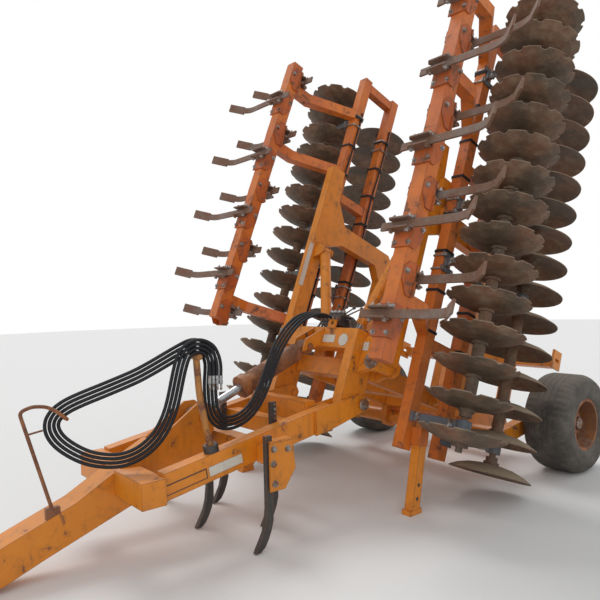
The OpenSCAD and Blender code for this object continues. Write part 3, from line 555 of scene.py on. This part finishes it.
class HARROW_OT_stage(bpy.types.Operator):
    """Camera at the photograph's place, a pale floor and soft studio light"""
    bl_idname = "harrow.stage"
    bl_label = "Stage"

    def execute(self, context):
        context.scene.view_settings.view_transform = "Standard"
        self.add_camera(context.scene)
        self.add_floor(context.scene)
        self.add_world(context.scene)
        self.add_lamps(context.scene)
        return {"FINISHED"}

    def add_camera(self, scene):
        a, e, r = CAMERA_AZIMUTH, CAMERA_PITCH, CAMERA_ROLL
        forward = Vector((-math.sin(a) * math.cos(e), math.cos(a) * math.cos(e), math.sin(e)))
        side = Vector((math.cos(a), math.sin(a), 0))
        up = side.cross(forward)
        right = side * math.cos(r) + up * math.sin(r)
        top = -side * math.sin(r) + up * math.cos(r)
        data = bpy.data.cameras.new("camera")
        data.lens = CAMERA_LENS
        data.sensor_width = 36
        data.clip_end = 100
        camera = bpy.data.objects.new("camera", data)
        camera.matrix_world = Matrix((
            (right.x, top.x, -forward.x, CAMERA_AT[0]),
            (right.y, top.y, -forward.y, CAMERA_AT[1]),
            (right.z, top.z, -forward.z, CAMERA_AT[2]),
            (0, 0, 0, 1)))
        scene.collection.objects.link(camera)
        scene.camera = camera

    def add_floor(self, scene):
        """A round floor: one face in the middle and a band of faces round it."""
        built = bmesh.new()
        across, along = Vector((1, 0, 0)), Vector((0, 1, 0))
        inner, outer = [[built.verts.new(p) for p in ring(Vector(), across, along, radius, FLOOR_SIDES)]
                        for radius in (FLOOR_MIDDLE, FLOOR_RADIUS)]
        built.faces.new(inner)
        for i in range(FLOOR_SIDES):
            j = (i + 1) % FLOOR_SIDES
            built.faces.new((inner[i], outer[i], outer[j], inner[j]))
        mesh = bpy.data.meshes.new("floor")
        built.to_mesh(mesh)
        built.free()
        ground = bpy.data.objects.new("floor", mesh)
        scene.collection.objects.link(ground)
        mesh.materials.append(Finish("floor").set((0.80, 0.79, 0.77), 0.9, specular=0.2))

    def add_world(self, scene):
        """Soft light for the surfaces, and white where the camera or a gloss sees past them."""
        world = bpy.data.worlds.new("studio")
        scene.world = world
        tree = Tree(world)
        soft = tree.node("ShaderNodeBackground", None, {"Color": (0.94, 0.97, 1.0), "Strength": 0.62})
        white = tree.node("ShaderNodeBackground", None, {"Color": (1, 1, 1), "Strength": 1.0})
        camera, gloss, glass = [tree.node("ShaderNodeLightPath", out=f"Is {kind} Ray")
                                for kind in ("Camera", "Glossy", "Transmission")]
        mixed = tree.node("ShaderNodeMixShader", None,
                          {0: (camera + gloss + glass).clamp(), 1: soft, 2: white})
        tree.node("ShaderNodeOutputWorld", None, {"Surface": mixed})

    def add_lamps(self, scene):
        for name, (direction, strength, spread) in LAMPS.items():
            lamp = bpy.data.lights.new(name, "SUN")
            lamp.energy = strength
            lamp.angle = math.radians(spread)
            holder = bpy.data.objects.new(name, lamp)
            holder.rotation_mode = "QUATERNION"
            holder.rotation_quaternion = Vector(direction).to_track_quat("Z", "Y")
            scene.collection.objects.link(holder)


# Hoses

HOSE_COUNT = 4
HOSE_PITCH = 26
FITTING_X, FITTING_PITCH = 10, 45
# Middle of the bundle: x, y from the hinge pin, z above the floor, as in the source
HOSE_ROUTE = [
    (78, 26, 1454), (78, -42, 1481), (90, -132, 1490), (115, -252, 1470), (150, -372, 1425),
    (190, -492, 1350), (222, -602, 1245), (250, -692, 1120), (275, -782, 985), (300, -882, 872),
    (328, -1002, 808), (352, -1122, 792), (375, -1222, 822), (388, -1280, 895), (394, -1298, 990),
    (396, -1300, 1100), (396, -1292, 1215), (396, -1326, 1304), (396, -1412, 1340), (386, -1492, 1317),
    (330, -1607, 1248), (255, -1742, 1168), (162, -1929, 1088), (80, -2087, 1020), (38, -2170, 955),
    (28, -2190, 875), (52, -2140, 780), (115, -2014, 685), (196, -1861, 650), (262, -1732, 690),
    (315, -1632, 790), (355, -1572, 930), (392, -1547, 1080), (428, -1534, 1205), (445, -1500, 1302),
    (446, -1412, 1340), (447, -1326, 1304), (447, -1290, 1215), (447, -1290, 1140),
]
LOOP_FACE = Vector((0.99, -0.14, 0))


def bundle_line():
    """The bundle's middle line with a point added between each two."""
    route = [Vector(point) for point in HOSE_ROUTE]
    last = len(route) - 1
    line = []
    for i, point in enumerate(route):
        line.append(point)
        if i < last:
            line.append((9 * (point + route[i + 1]) - route[max(i - 1, 0)] - route[min(i + 2, last)]) / 16)
    return line


def hose_line(k):
    """Middle line of hose k, in metres."""
    line = bundle_line()
    offset = k - (HOSE_COUNT - 1) / 2
    out = []
    for i, point in enumerate(line):
        along = (line[min(i + 1, len(line) - 1)] - line[max(i - 1, 0)]).normalized()
        at_fittings = max(0, min(1, 1 - (i - 2) / 12))
        shift = (Vector((FITTING_PITCH, 0, 0)) * at_fittings
                 + LOOP_FACE.cross(along).normalized() * HOSE_PITCH * (1 - at_fittings))
        out.append(level_point(*(point + shift * offset)))
    return out


class HARROW_OT_hoses(bpy.types.Operator):
    """Four hydraulic hoses in their two loops, with ferrules and couplers"""
    bl_idname = "harrow.hoses"
    bl_label = "Hoses"

    def execute(self, context):
        d = sizes().hose_diameter
        down = Vector((0, 0, -1))
        for k in range(HOSE_COUNT):
            path = curve_through(hose_line(k), 3)
            length = sum((b - a).length for a, b in zip(path, path[1:]))
            shape = Shape(f"hose_{k + 1}_rubber", "hose_rubber")
            shape.tube(path, d / 2, 14)
            hose = shape.piece(None, smooth=60)
            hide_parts(f"hose_{k + 1}")
            level_point(78, 10, 1460)
            level_point(250, -692, 1120)
            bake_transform(hose)
            body = Shape(f"coupler_{k + 1}", "coupler_steel")
            r = d / 2
            body.turned(path[-1] + Vector((0, 0, 0.001)) + down * 0.0015, down, [
                (0, r + 0.0005), (0.002, r + 0.001), (0.022, r + 0.001), (0.023, r - 0.001),
                (0.027, r - 0.001), (0.028, r + 0.001), (0.052, r + 0.001), (0.0535, r),
                (0.0585, r - 0.0035), (0.080, r - 0.0035), (0.082, r - 0.0025),
                (0.090, r - 0.0025), (0.0935, r - 0.0045)], 20)
            coupler = body.piece("drawbar", smooth=40)
            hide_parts("hose_couplers")
        return {"FINISHED"}


# Finishes of the solids

# Start of a node's name and its finish, where that isn't the one of its slot
NODE_FINISHES = (("tines_", "leaf_rust"), ("rim_", "rim_paint"), ("fold_barrel_", "orange_paint"))


class HARROW_OT_finishes(bpy.types.Operator):
    """Weathered materials on every solid of the machine"""
    bl_idname = "harrow.finishes"
    bl_label = "Finishes"

    def execute(self, context):
        make_finishes()
        for part in frame["record"]["subparts"]:
            name = part["material_slot"]
            for start, finish in NODE_FINISHES:
                if part["node"].startswith(start):
                    name = finish
            for slot in frame["nodes"][part["node"]].material_slots:
                slot.material = FINISHES[name]
        return {"FINISHED"}


# Tyres

RIM_RADIUS = 0.220
RIB_PLACES = (-0.100, -0.050, 0.0, 0.050, 0.100)
GROOVE_DEPTH = 0.004
STUD_COUNT, STUD_CIRCLE, STUD_LIFT = 8, 0.138, 0.032


def tyre_section(half, outer):
    """Rows of (offset, radius) from the inner bead round the tread to the outer bead."""
    wall = [(-half + 0.040, RIM_RADIUS), (-half + 0.022, RIM_RADIUS + 0.012),
            (-half + 0.010, RIM_RADIUS + 0.040), (-half + 0.004, RIM_RADIUS + 0.060),
            (-half + 0.006, RIM_RADIUS + 0.066), (-half, RIM_RADIUS + 0.110),
            (-half + 0.001, outer - 0.092), (-half + 0.006, outer - 0.084),
            (-half + 0.006, outer - 0.060), (-half + 0.021, outer - 0.036),
            (-half + 0.045, outer - 0.018), (-half + 0.064, outer - 0.009)]
    tread = []
    for x in RIB_PLACES:
        tread += [(x - 0.019, outer - 0.001), (x + 0.019, outer - 0.001),
                  (x + 0.022, outer - 0.004), (x + 0.028, outer - 0.004)]
    return wall + tread[:-2] + [(-x, r) for x, r in reversed(wall)]


class HARROW_OT_tyres(bpy.types.Operator):
    """Worn tyres with ribs and shallow grooves, and wheel studs on the rims"""
    bl_idname = "harrow.tyres"
    bl_label = "Tyres"

    def execute(self, context):
        for side, name in ((1, "left"), (-1, "right")):
            low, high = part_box(f"tyre_{name}")
            centre = (low + high) / 2
            self.add_tyre(name, centre, (high.x - low.x) / 2, (high.z - low.z) / 2)
            self.add_studs(name, centre, Vector((side, 0, 0)))
        return {"FINISHED"}

    def add_tyre(self, name, centre, half, outer):
        shape = Shape(f"tyre_{name}_rubber", "tyre_rubber")
        section = tyre_section(half, outer)
        rings = []
        for k, angle in enumerate(turns(sizes().tread_blocks * 4)):
            row = []
            for x, radius in section:
                grooved = k % 4 == 0 and abs(x) > 0.075 and radius > outer - 0.05
                radius -= GROOVE_DEPTH if grooved else 0.0
                row.append(centre + Vector((x, math.cos(angle) * radius, math.sin(angle) * radius)))
            rings.append(row)
        shape.rings(rings, closed=True)
        tyre = shape.piece(f"wheel_{name}", smooth=38)
        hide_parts(f"tyre_{name}")

    def add_studs(self, name, centre, out):
        studs = Shape(f"wheel_studs_{name}", "bolt_steel")
        for angle in turns(STUD_COUNT):
            spoke = Vector((0, math.cos(angle) * STUD_CIRCLE, math.sin(angle) * STUD_CIRCLE))
            studs.bolt(centre + out * STUD_LIFT + spoke, out, BOLT["wheel"], shank=0.012)
        studs.turned(centre + out * 0.108, out, [(0, 0.050), (0.004, 0.052), (0.014, 0.050),
                                                  (0.022, 0.040), (0.026, 0.020), (0.027, 0.004)], 24)
        studs.piece(f"wheel_{name}")


# Wings

# Row, z of its first tine and count, for the left wing (1) and the right wing (-1)
TINE_ROWS = {1: (("front", 533, 5), ("rear", 857, 4)), -1: (("front", 928, 4), ("rear", 603, 5))}
# Distance of a U-bolt's bars from the hanger's middle, and of its sides from the beam's middle
CLAMP_BAR = 58
TIE_PITCH = 340


class HARROW_OT_wing_fixings(bpy.types.Operator):
    """U-bolts, clamp plates, brackets and bolts along both wings"""
    bl_idname = "harrow.wing_fixings"
    bl_label = "Wing fixings"

    def execute(self, context):
        for side, name in ((1, "left"), (-1, "right")):
            self.hangers(side, name)
            self.tine_clamps(side, name)
            self.frame_fixings(side, name)
            self.clipped_hoses(side, name)
        return {"FINISHED"}

    def hangers(self, side, name):
        """Clamp plates and U-bolts that hold the gang hangers to their beams."""
        bolts = Shape(f"hanger_bolts_{name}", "bolt_steel")
        plates = Shape(f"hanger_plates_{name}", "hanger_paint")
        out, right, up = chassis_axis(side, 0, 0), chassis_axis(0, side, 0), chassis_axis(0, 0, 1)
        face = GANG_X + GANG_BEAM / 2
        # The front gang's lowest hanger gets no clamp plates
        for gang, beam_y, clamped in ((FRONT_GANG, FRONT_GANG_BEAM_Y, HANGER_SLOTS[1:]),
                                      (REAR_GANG, REAR_GANG_BEAM_Y, HANGER_SLOTS)):
            for slot in clamped:
                z = gang[2] + (slot + 0.5) * DISC_PITCH
                # No room for a bar between the lowest clamp and the cross beam, wing down
                for lift in (-CLAMP_BAR, CLAMP_BAR) if slot else ():
                    bar = [(face + 26, -CLAMP_BAR), (GANG_X - 60, -CLAMP_BAR),
                           (GANG_X - 60, CLAMP_BAR), (face + 26, CLAMP_BAR)]
                    bolts.u_bolt([chassis_point(side * x, beam_y + y, z + lift) for x, y in bar], out)
                for low, high in ((-80, -36), (36, 80)):
                    plates.plate(chassis_point(side * (face + 1), beam_y, z), right, up,
                                 rectangle(-0.076, 0.076, low / 1000, high / 1000), 0.012)
        # Two bolts on each blade near its foot, and two at its bearing
        for gang, foot_y in ((FRONT_GANG, FRONT_GANG_BEAM_Y), (REAR_GANG, REAR_GANG_BEAM_Y + 10)):
            start = Vector((face, foot_y))
            run = Vector((gang[0], gang[1])) - start
            along = run.normalized()
            normal = Vector((along.y, -along.x))
            for slot in HANGER_SLOTS:
                z = gang[2] + (slot + 0.5) * DISC_PITCH
                for reach in (62, run.length - 88):
                    for lift in (-18, 18):
                        p = start + along * reach + normal * 38
                        bolts.bolt(chassis_point(side * p.x, p.y, z + lift),
                                   chassis_axis(side * normal.x, normal.y, 0), BOLT["hanger"])
        bolts.piece(f"wing_{name}")
        plates.piece(f"wing_{name}")

    def tine_clamps(self, side, name):
        """Through bolts of the tines' clamp plates, and a bracket round the beam at each."""
        bolts = Shape(f"tine_bolts_{name}", "bolt_steel")
        brackets = Shape(f"tine_brackets_{name}", "clamp_paint")
        up = chassis_axis(0, 0, 1)
        for row, first, count in TINE_ROWS[side]:
            sign, reach = (-1, 40) if row == "front" else (1, 60)
            bolt_y = TINE_Y + sign * (TINE_BEAM / 2 + reach + 18)
            for k in range(count):
                z = first + k * TINE_PITCH
                for x in (TINE_X - 78, TINE_X + 58):
                    for way in (-1, 1):
                        bolts.bolt(chassis_point(side * x, bolt_y, z + way * (TINE_LEAF / 2 + 12)),
                                   up * way, BOLT["clamp"], shank=0.012 if way > 0 else 0.0)
                self.tine_bracket(brackets, bolts, side, sign, z)
        brackets.piece(f"wing_{name}")
        bolts.piece(f"wing_{name}")

    def tine_bracket(self, brackets, bolts, side, sign, z):
        """Folded plates that hold one tine to its beam: on the tine's side, and round both sides."""
        half = TINE_BEAM / 2
        up = chassis_axis(0, 0, 1)
        front = chassis_axis(0, sign, 0)
        across = up.cross(front)
        for outline in (rectangle(-0.086, 0.086, -0.150, -0.032), rectangle(-0.080, 0.080, 0.032, 0.085)):
            brackets.plate(chassis_point(side * TINE_X, TINE_Y + sign * (half + 1), z), across, up,
                           outline, 0.012)
        for way in (1, -1):
            out = chassis_axis(side * way, 0, 0)
            origin = chassis_point(side * (TINE_X + way * (half + 1)), TINE_Y, z)
            right = up.cross(out)
            lean = 1 if right.dot(front) > 0 else -1
            wall = [(0.072, 0.090), (0.072, -0.150), (0.010, -0.150),
                    (-0.056, -0.060), (-0.056, 0.040), (-0.010, 0.090)]
            outline = [(lean * x, y) for x, y in wall]
            brackets.plate(origin, right, up, outline if lean < 0 else outline[::-1], 0.010)
            bolts.bolt(origin + right * lean * -0.030 + up * 0.01 + out * 0.010, out, BOLT["clamp"])
        for x, lift in ((-0.06, -0.12), (0.06, -0.12), (-0.06, 0.062), (0.06, 0.062)):
            at = chassis_point(side * TINE_X, TINE_Y + sign * (half + 13), z) + across * x + up * lift
            bolts.bolt(at, front, BOLT["bracket"])

    def frame_fixings(self, side, name):
        """Pin heads of the fold hinges, and the pale strip on the fold frame's post."""
        pins = Shape(f"fold_pins_{name}", "bolt_steel")
        front = chassis_axis(0, -1, 0)
        for y in FOLD_PIN_Y:
            pins.turned(chassis_point(side * FOLD_X, y + 1, FOLD_Z), front,
                        [(0, 0.052), (0.006, 0.054), (0.013, 0.052), (0.016, 0.046)], 28)
            pins.bolt(chassis_point(side * FOLD_X, y - 14, FOLD_Z), front, BOLT["fold"], washer=False)
        pins.piece(f"wing_{name}")
        strip = Shape(f"blank_strip_{name}", "pale_patch")
        strip.plate(chassis_point(side * 591, -60, 1235), chassis_axis(0, side, 0) * -1,
                    chassis_axis(0, 0, 1), panel(0.028, 0.22), 0.002, 0.0005)
        strip.piece(f"wing_{name}")

    def clipped_hoses(self, side, name):
        """A hose strapped to the inner face of each gang beam."""
        hoses = Shape(f"clipped_hoses_{name}", "hose_rubber")
        half = GANG_BEAM / 2
        for beam_y, low, high in ((FRONT_GANG_BEAM_Y, 620, 3180), (REAR_GANG_BEAM_Y, 240, 3240)):
            line = [(GANG_X - half - 12 - 3 * math.sin(z / 130), beam_y + 12 + 9 * math.sin(z / 210), z)
                    for z in range(low, high, 60)]
            hoses.tube([chassis_point(side * x, y, z) for x, y, z in line], 0.009, 10)
            for z in range(low + 60, high - 60, TIE_PITCH):
                inner, outer = [[(GANG_X + half + grow, beam_y - half - grow),
                                 (GANG_X + half + grow, beam_y + half + grow),
                                 (GANG_X - half - grow, beam_y + half + grow),
                                 (GANG_X - half - 22 - grow, beam_y + 26),
                                 (GANG_X - half - 22 - grow, beam_y - 4),
                                 (GANG_X - half - grow, beam_y - half - grow)] for grow in (1, 7)]
                loops = [[chassis_point(side * x, y, z + lift) for x, y in row]
                         for row, lift in ((inner, -11), (outer, -11), (outer, 11), (inner, 11))]
                hoses.rings(loops, closed=True)
        hoses.piece(f"wing_{name}")


# Drawbar

# x, y from the hinge pin and top above the floor, as in the source
DRAWBAR_LEGS = ((660, -1030, 740), (-660, -1030, 740), (30, -1095, 735), (330, -735, 880),
                (-330, -735, 880))
# Front edge and back edge from the leg's y, half width and height of each row of a shank
SHANK_ROWS = ((-38, 14, 15, None), (-38, 14, 15, 280), (-50, 12, 15, 190), (-66, -6, 15, 130),
              (-92, -30, 17, 80), (-118, -62, 19, 34), (-136, -96, 15, 8))
SHANK_HALF = 15
PEG_TOP, PEG_PITCH = 862, 34
# y and z of the bolts of an outer leg's bracket
BRACKET_BOLTS = ((-1020, 655), (-905, 640), (-1025, 560), (-1015, 430))
# Name, finish, x, y, z, half width, half height and thickness of the plates on the left beam
BEAM_PLATES = (("blank_beam_plate", "pale_patch", 470.4, -1240, 553, 0.13, 0.032, 0.002),
               ("blank_beam_strip", "black_paint", 470.4, -1530, 505, 0.15, 0.034, 0.0015),
               ("blank_beam_field", "orange_paint", 472.1, -1530, 505, 0.142, 0.027, 0.0015))
BEAM_ALONG = Vector((0, math.cos(BEAM_SLOPE), math.sin(BEAM_SLOPE)))
BEAM_UP = Vector((0, -math.sin(BEAM_SLOPE), math.cos(BEAM_SLOPE)))


def level_bar(shape, xs, front, back, low, high):
    """A square bar between two values of x, given level."""
    shape.rings([[level_point(x, front, low), level_point(x, back, low),
                  level_point(x, back, high), level_point(x, front, high)] for x in xs])


class HARROW_OT_drawbar(bpy.types.Operator):
    """Pins, bolts, blank plates, shanks and hose post of the drawbar"""
    bl_idname = "harrow.drawbar"
    bl_label = "Drawbar details"

    def execute(self, context):
        out = Vector((1, 0, 0))
        bolts = Shape("drawbar_bolts", "bolt_steel")
        for side in (1, -1):
            axis = out * side
            pin = level_point(side * 524, 0, 780)
            bolts.turned(pin, axis, [(0, 0.046), (0.008, 0.048), (0.014, 0.044)], 26)
            bolts.bolt(pin + axis * 0.012, axis, BOLT["hinge"], washer=False)
            for y, z in BRACKET_BOLTS:
                bolts.bolt(level_point(side * 697, y, z), axis, BOLT["leg"], shank=0.008)
        bolts.piece("drawbar")
        for name, finish, x, y, z, half_width, half_height, thickness in BEAM_PLATES:
            plate = Shape(name, finish)
            plate.plate(level_point(x, y, z), BEAM_ALONG, BEAM_UP, panel(half_width, half_height),
                        thickness, 0.0005)
            plate.piece("drawbar")
        self.shanks()
        self.brackets()
        self.post()
        self.stay()
        pegs = Shape("shank_pegs", "bolt_steel")
        leg_x, leg_y, _ = DRAWBAR_LEGS[3]
        for side in (1, -1):
            for k in range(4):
                for way in (1, -1):
                    at = level_point(side * leg_x + way * SHANK_HALF, leg_y, PEG_TOP - k * PEG_PITCH)
                    pegs.turned(at, out * way, [(0, 0.010), (0.0015, 0.010), (0.002, 0.007)], 14)
        pegs.piece("drawbar")
        return {"FINISHED"}

    def shanks(self):
        """Five flat shanks with their points."""
        shank = Shape("drawbar_shanks", "black_paint")
        for x, y, top in DRAWBAR_LEGS:
            shank.rings([[level_point(x - w, y + a, z or top), level_point(x + w, y + a, z or top),
                          level_point(x + w, y + b, z or top), level_point(x - w, y + b, z or top)]
                         for a, b, w, z in SHANK_ROWS])
        made = shank.piece("drawbar", smooth=30)
        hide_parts("drawbar_tines")

    def brackets(self):
        """The plates and bars that carry the outer two shanks."""
        bracket = Shape("drawbar_tine_brackets", "orange_paint")
        outer_x, outer_y, _ = DRAWBAR_LEGS[0]
        outline = [(-0.100, 0.700), (0.090, 0.700), (0.110, 0.500), (0.020, 0.380), (-0.100, 0.380)]
        for side in (1, -1):
            for x in (outer_x - 36, outer_x + 22):
                origin = level_point(side * (x if side > 0 else x + 14), outer_y + 80, 0)
                bracket.plate(origin, (0, 1, 0), (0, 0, 1), outline, 0.014)
            reach = (side * 470, side * (outer_x + 24))
            level_bar(bracket, reach, outer_y + 40, outer_y + 150, 520, 634)
            level_bar(bracket, reach, outer_y + 40, outer_y + 190, 634, 642)
            cap = (side * (outer_x - 38), side * (outer_x + 38))
            level_bar(bracket, cap, outer_y - 20, outer_y + 170, 694, 706)
        bracket.piece("drawbar", smooth=30)

    def post(self):
        """The post that the hoses hang over, with its bar, in its ring."""
        foot_y, head_y, head_z = -1317, -1412, 1270
        foot_z = PIN_Z + foot_y * math.tan(BEAM_SLOPE) + 85
        post = Shape("hose_post", "post_paint")
        route = ((foot_y, foot_z + 4), (foot_y - 46, 860), (foot_y - 77, 1010), (head_y, head_z))
        post.tube(rounded([level_point(SIDE_BEAM_X, y, z) for y, z in route], 0.12, 5), 0.022, 18)
        post.tube([level_point(SIDE_BEAM_X + reach, head_y, head_z) for reach in (-50, 50)], 0.0184, 18)
        made = post.piece("drawbar", smooth=50)
        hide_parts("hose_supports")
        collar = Shape("post_ring", "black_paint")
        collar.turned(level_point(SIDE_BEAM_X, foot_y, foot_z), BEAM_UP,
                      [(0, 0.050), (0.044, 0.050), (0.050, 0.046), (0.050, 0.030), (0.044, 0.026)], 28)
        collar.piece("drawbar", smooth=40)

    def stay(self):
        """The hooked stay on the nose."""
        stay = Shape("hooked_stay", "rusty_paint")
        # The nose's front face is where the hitch eye's tongue ends
        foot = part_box("hitch_eye")[1].y * 1000 - PIN_Y + 675
        x = 78
        stay.rings([[level_point(x - 20, foot - 40, z), level_point(x + 20, foot - 40, z),
                     level_point(x + 20, foot + 40, z), level_point(x - 20, foot + 40, z)]
                    for z in (345, 414, 420)])
        route = ((x, 0, 400), (x, -170, 1010), (x, -98, 1034), (x, -18, 1022), (x, 42, 985),
                 (x, 106, 925), (0, 110, 925))
        stay.tube(rounded([level_point(at, foot + y, z) for at, y, z in route], 0.03, 4), 0.011, 14)
        stay.tube([level_point(x, foot - 130, 873), level_point(x, foot - 43, 885)], 0.006, 10)
        made = stay.piece("drawbar", smooth=50)
        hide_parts("hose_supports")


# Portal

LEVER_X = (30, 80, 130, 180)


class HARROW_OT_portal(bpy.types.Operator):
    """Levers, fittings and pipes on the portal, with its blank plates"""
    bl_idname = "harrow.portal"
    bl_label = "Portal details"

    def execute(self, context):
        front = chassis_axis(0, -1, 0)
        self.fittings(front)
        self.levers()
        self.pipes()
        self.blank_plates()
        self.pierced_bracket(front)
        ears = Shape("ear_bolts", "bolt_steel")
        for side in (1, -1):
            ears.bolt(chassis_point(side * 596, -111, 540), front, BOLT["hinge"])
            ears.turned(chassis_point(side * FOLD_X, -110, FOLD_Z), front,
                        [(0, 0.066), (0.010, 0.066), (0.012, 0.062)], 30)
        ears.piece("chassis")
        return {"FINISHED"}

    def fittings(self, front):
        """One fitting for each hose and one spare, and the valve block's bolts."""
        steel = Shape("valve_fittings", "coupler_steel")
        for k in range(HOSE_COUNT + 1):
            at = chassis_point(FITTING_X + k * FITTING_PITCH, -182, 635)
            steel.turned(at, front, [(0, 0.0175), (0.002, 0.0185), (0.016, 0.0185), (0.018, 0.0165)], 6, 0.3)
            steel.turned(at, front, [(0.018, 0.0145), (0.040, 0.0145), (0.0425, 0.0135)], 16)
        for x in LEVER_X:
            steel.bolt(chassis_point(x, -130, 710), chassis_axis(0, 0, 1), BOLT["valve"], washer=False)
        steel.piece("chassis")

    def levers(self):
        levers = Shape("valve_levers", "black_paint")
        for k, x in enumerate(LEVER_X):
            lean = -0.25 + 0.16 * k
            root = chassis_point(x, -100, 690)
            tip = chassis_point(x + 20 * k - 20, -20 + 120 * lean, 790)
            levers.tube([root, root.lerp(tip, 0.5), tip], 0.006, 10)
            levers.turned(tip, (tip - root), [(-0.004, 0.006), (0.002, 0.012), (0.012, 0.015),
                                              (0.022, 0.012), (0.027, 0.004)], 16)
        levers.piece("chassis")

    def pipes(self):
        """Two pipes to each side, from the valve block down behind the portal."""
        pipes = Shape("hydraulic_pipes", "black_paint")
        for start, turn in ((205, 1), (-15, -1)):
            for k in range(2):
                y = -120 + 34 * k
                side_x = turn * (390 + 34 * k)
                top = 650 + 30 * k
                route = ((start, y, top), (start + turn * 60, y, top), (start + turn * 90, y, 574),
                         (side_x, y, 574), (side_x, -48, 574), (side_x, -48, 366), (side_x, 190, 362))
                pipes.tube(rounded([chassis_point(*point) for point in route], 0.035, 5), 0.009, 10)
        pipes.piece("chassis")

    def blank_plates(self):
        patch = Shape("blank_portal_plates", "pale_patch")
        right, up = chassis_axis(1, 0, 0), chassis_axis(0, 0, 1)
        badge = [(0.052 * math.cos(t), 0.052 * math.sin(t)) for t in turns(28)]
        patch.plate(chassis_point(158, -201, 462), right, up, panel(0.07, 0.034), 0.0015, 0.0005)
        patch.plate(chassis_point(327, -201, 458), right, up, badge, 0.0015, 0.0005)
        patch.plate(chassis_point(505, -111, 440), right, up, panel(0.03, 0.036), 0.002, 0.0005)
        patch.piece("chassis")

    def pierced_bracket(self, front):
        """A small plate on the portal with a round hole through it."""
        bracket = Shape("pierced_bracket", "orange_paint")
        right, up = chassis_axis(1, 0, 0), chassis_axis(0, 0, 1)
        hole = [(0.016 * math.cos(t), 0.016 * math.sin(t) + 0.035) for t in turns(16)]
        rim = [(0.048, 0.035), (0.048, 0.055), (0.042, 0.070), (0.022, 0.075), (0.0, 0.075), (-0.022, 0.075),
               (-0.042, 0.070), (-0.048, 0.055), (-0.048, 0.035), (-0.048, 0.015), (-0.048, -0.010),
               (-0.022, -0.010), (0.0, -0.010), (0.022, -0.010), (0.048, -0.010), (0.048, 0.015)]
        base = chassis_point(160, -200, 560)
        bracket.rings([[base + right * x + up * z + front * lift for x, z in row]
                       for row, lift in ((hole, 0.0), (rim, 0.0), (rim, 0.012), (hole, 0.012))],
                      closed=True)
        bracket.piece("chassis")


# Stands

# Side, name, lean in degrees, and y of the leg's axis at the height STAND_Z
STANDS = ((1, "left", 9.5, FRONT_GANG_BEAM_Y + 58), (-1, "right", -9.5, FRONT_GANG_BEAM_Y + 28))
# Distances of the holes down the leg from that height
LEG_HOLES = (420, 520)


class HARROW_OT_stands(bpy.types.Operator):
    """Flat black discs on each stand's leg, painted shade where its holes are"""
    bl_idname = "harrow.stands"
    bl_label = "Stands"

    def execute(self, context):
        for side, name, lean, axis_y in STANDS:
            a = math.radians(lean)
            hole_shade = Shape(f"stand_hole_shade_{name}", "black_paint")
            for down in LEG_HOLES:
                y = axis_y + down * math.sin(a)
                z = STAND_Z - down * math.cos(a)
                for way in (1, -1):
                    at = chassis_point(side * (STAND_X + way * STAND_LEG / 2), y, z)
                    # A flat black disc on each face of the leg: painted shade that stands in for a hole
                    hole_shade.turned(at, chassis_axis(side * way, 0, 0), [(0, 0.015), (0.00005, 0.015)], 20)
            hole_shade.piece(f"stand_{name}")
        return {"FINISHED"}


# Panel and registration

class HARROW_PT_panel(bpy.types.Panel):
    bl_idname = "HARROW_PT_panel"
    bl_label = "Disc harrow"
    bl_space_type = "VIEW_3D"
    bl_region_type = "UI"
    bl_category = "Harrow"

    def draw(self, context):
        for group in (context.scene.harrow_paint, context.scene.harrow_sizes):
            for key in group.bl_rna.properties.keys():
                if key not in {"rna_type", "name"}:
                    self.layout.prop(group, key)
        for operator in OPERATORS:
            self.layout.operator(operator.bl_idname)


# The finishes come first, because each piece takes its material from them
OPERATORS = (HARROW_OT_finishes, HARROW_OT_stage, HARROW_OT_hoses, HARROW_OT_tyres,
             HARROW_OT_wing_fixings, HARROW_OT_drawbar, HARROW_OT_portal, HARROW_OT_stands)
CLASSES = (HarrowPaint, HarrowSizes, *OPERATORS, HARROW_PT_panel)


def register():
    for cls in CLASSES:
        bpy.utils.register_class(cls)
    bpy.types.Scene.harrow_paint = PointerProperty(type=HarrowPaint)
    bpy.types.Scene.harrow_sizes = PointerProperty(type=HarrowSizes)


def unregister():
    del bpy.types.Scene.harrow_sizes
    del bpy.types.Scene.harrow_paint
    for cls in reversed(CLASSES):
        bpy.utils.unregister_class(cls)


def main():
    register()
    random.seed(sizes().seed)
    bpy.ops.harrow.finishes()
    bpy.ops.harrow.stage()
    bpy.ops.harrow.hoses()
    bpy.ops.harrow.tyres()
    bpy.ops.harrow.wing_fixings()
    bpy.ops.harrow.drawbar()
    bpy.ops.harrow.portal()
    bpy.ops.harrow.stands()


if __name__ == "__main__":
    main()
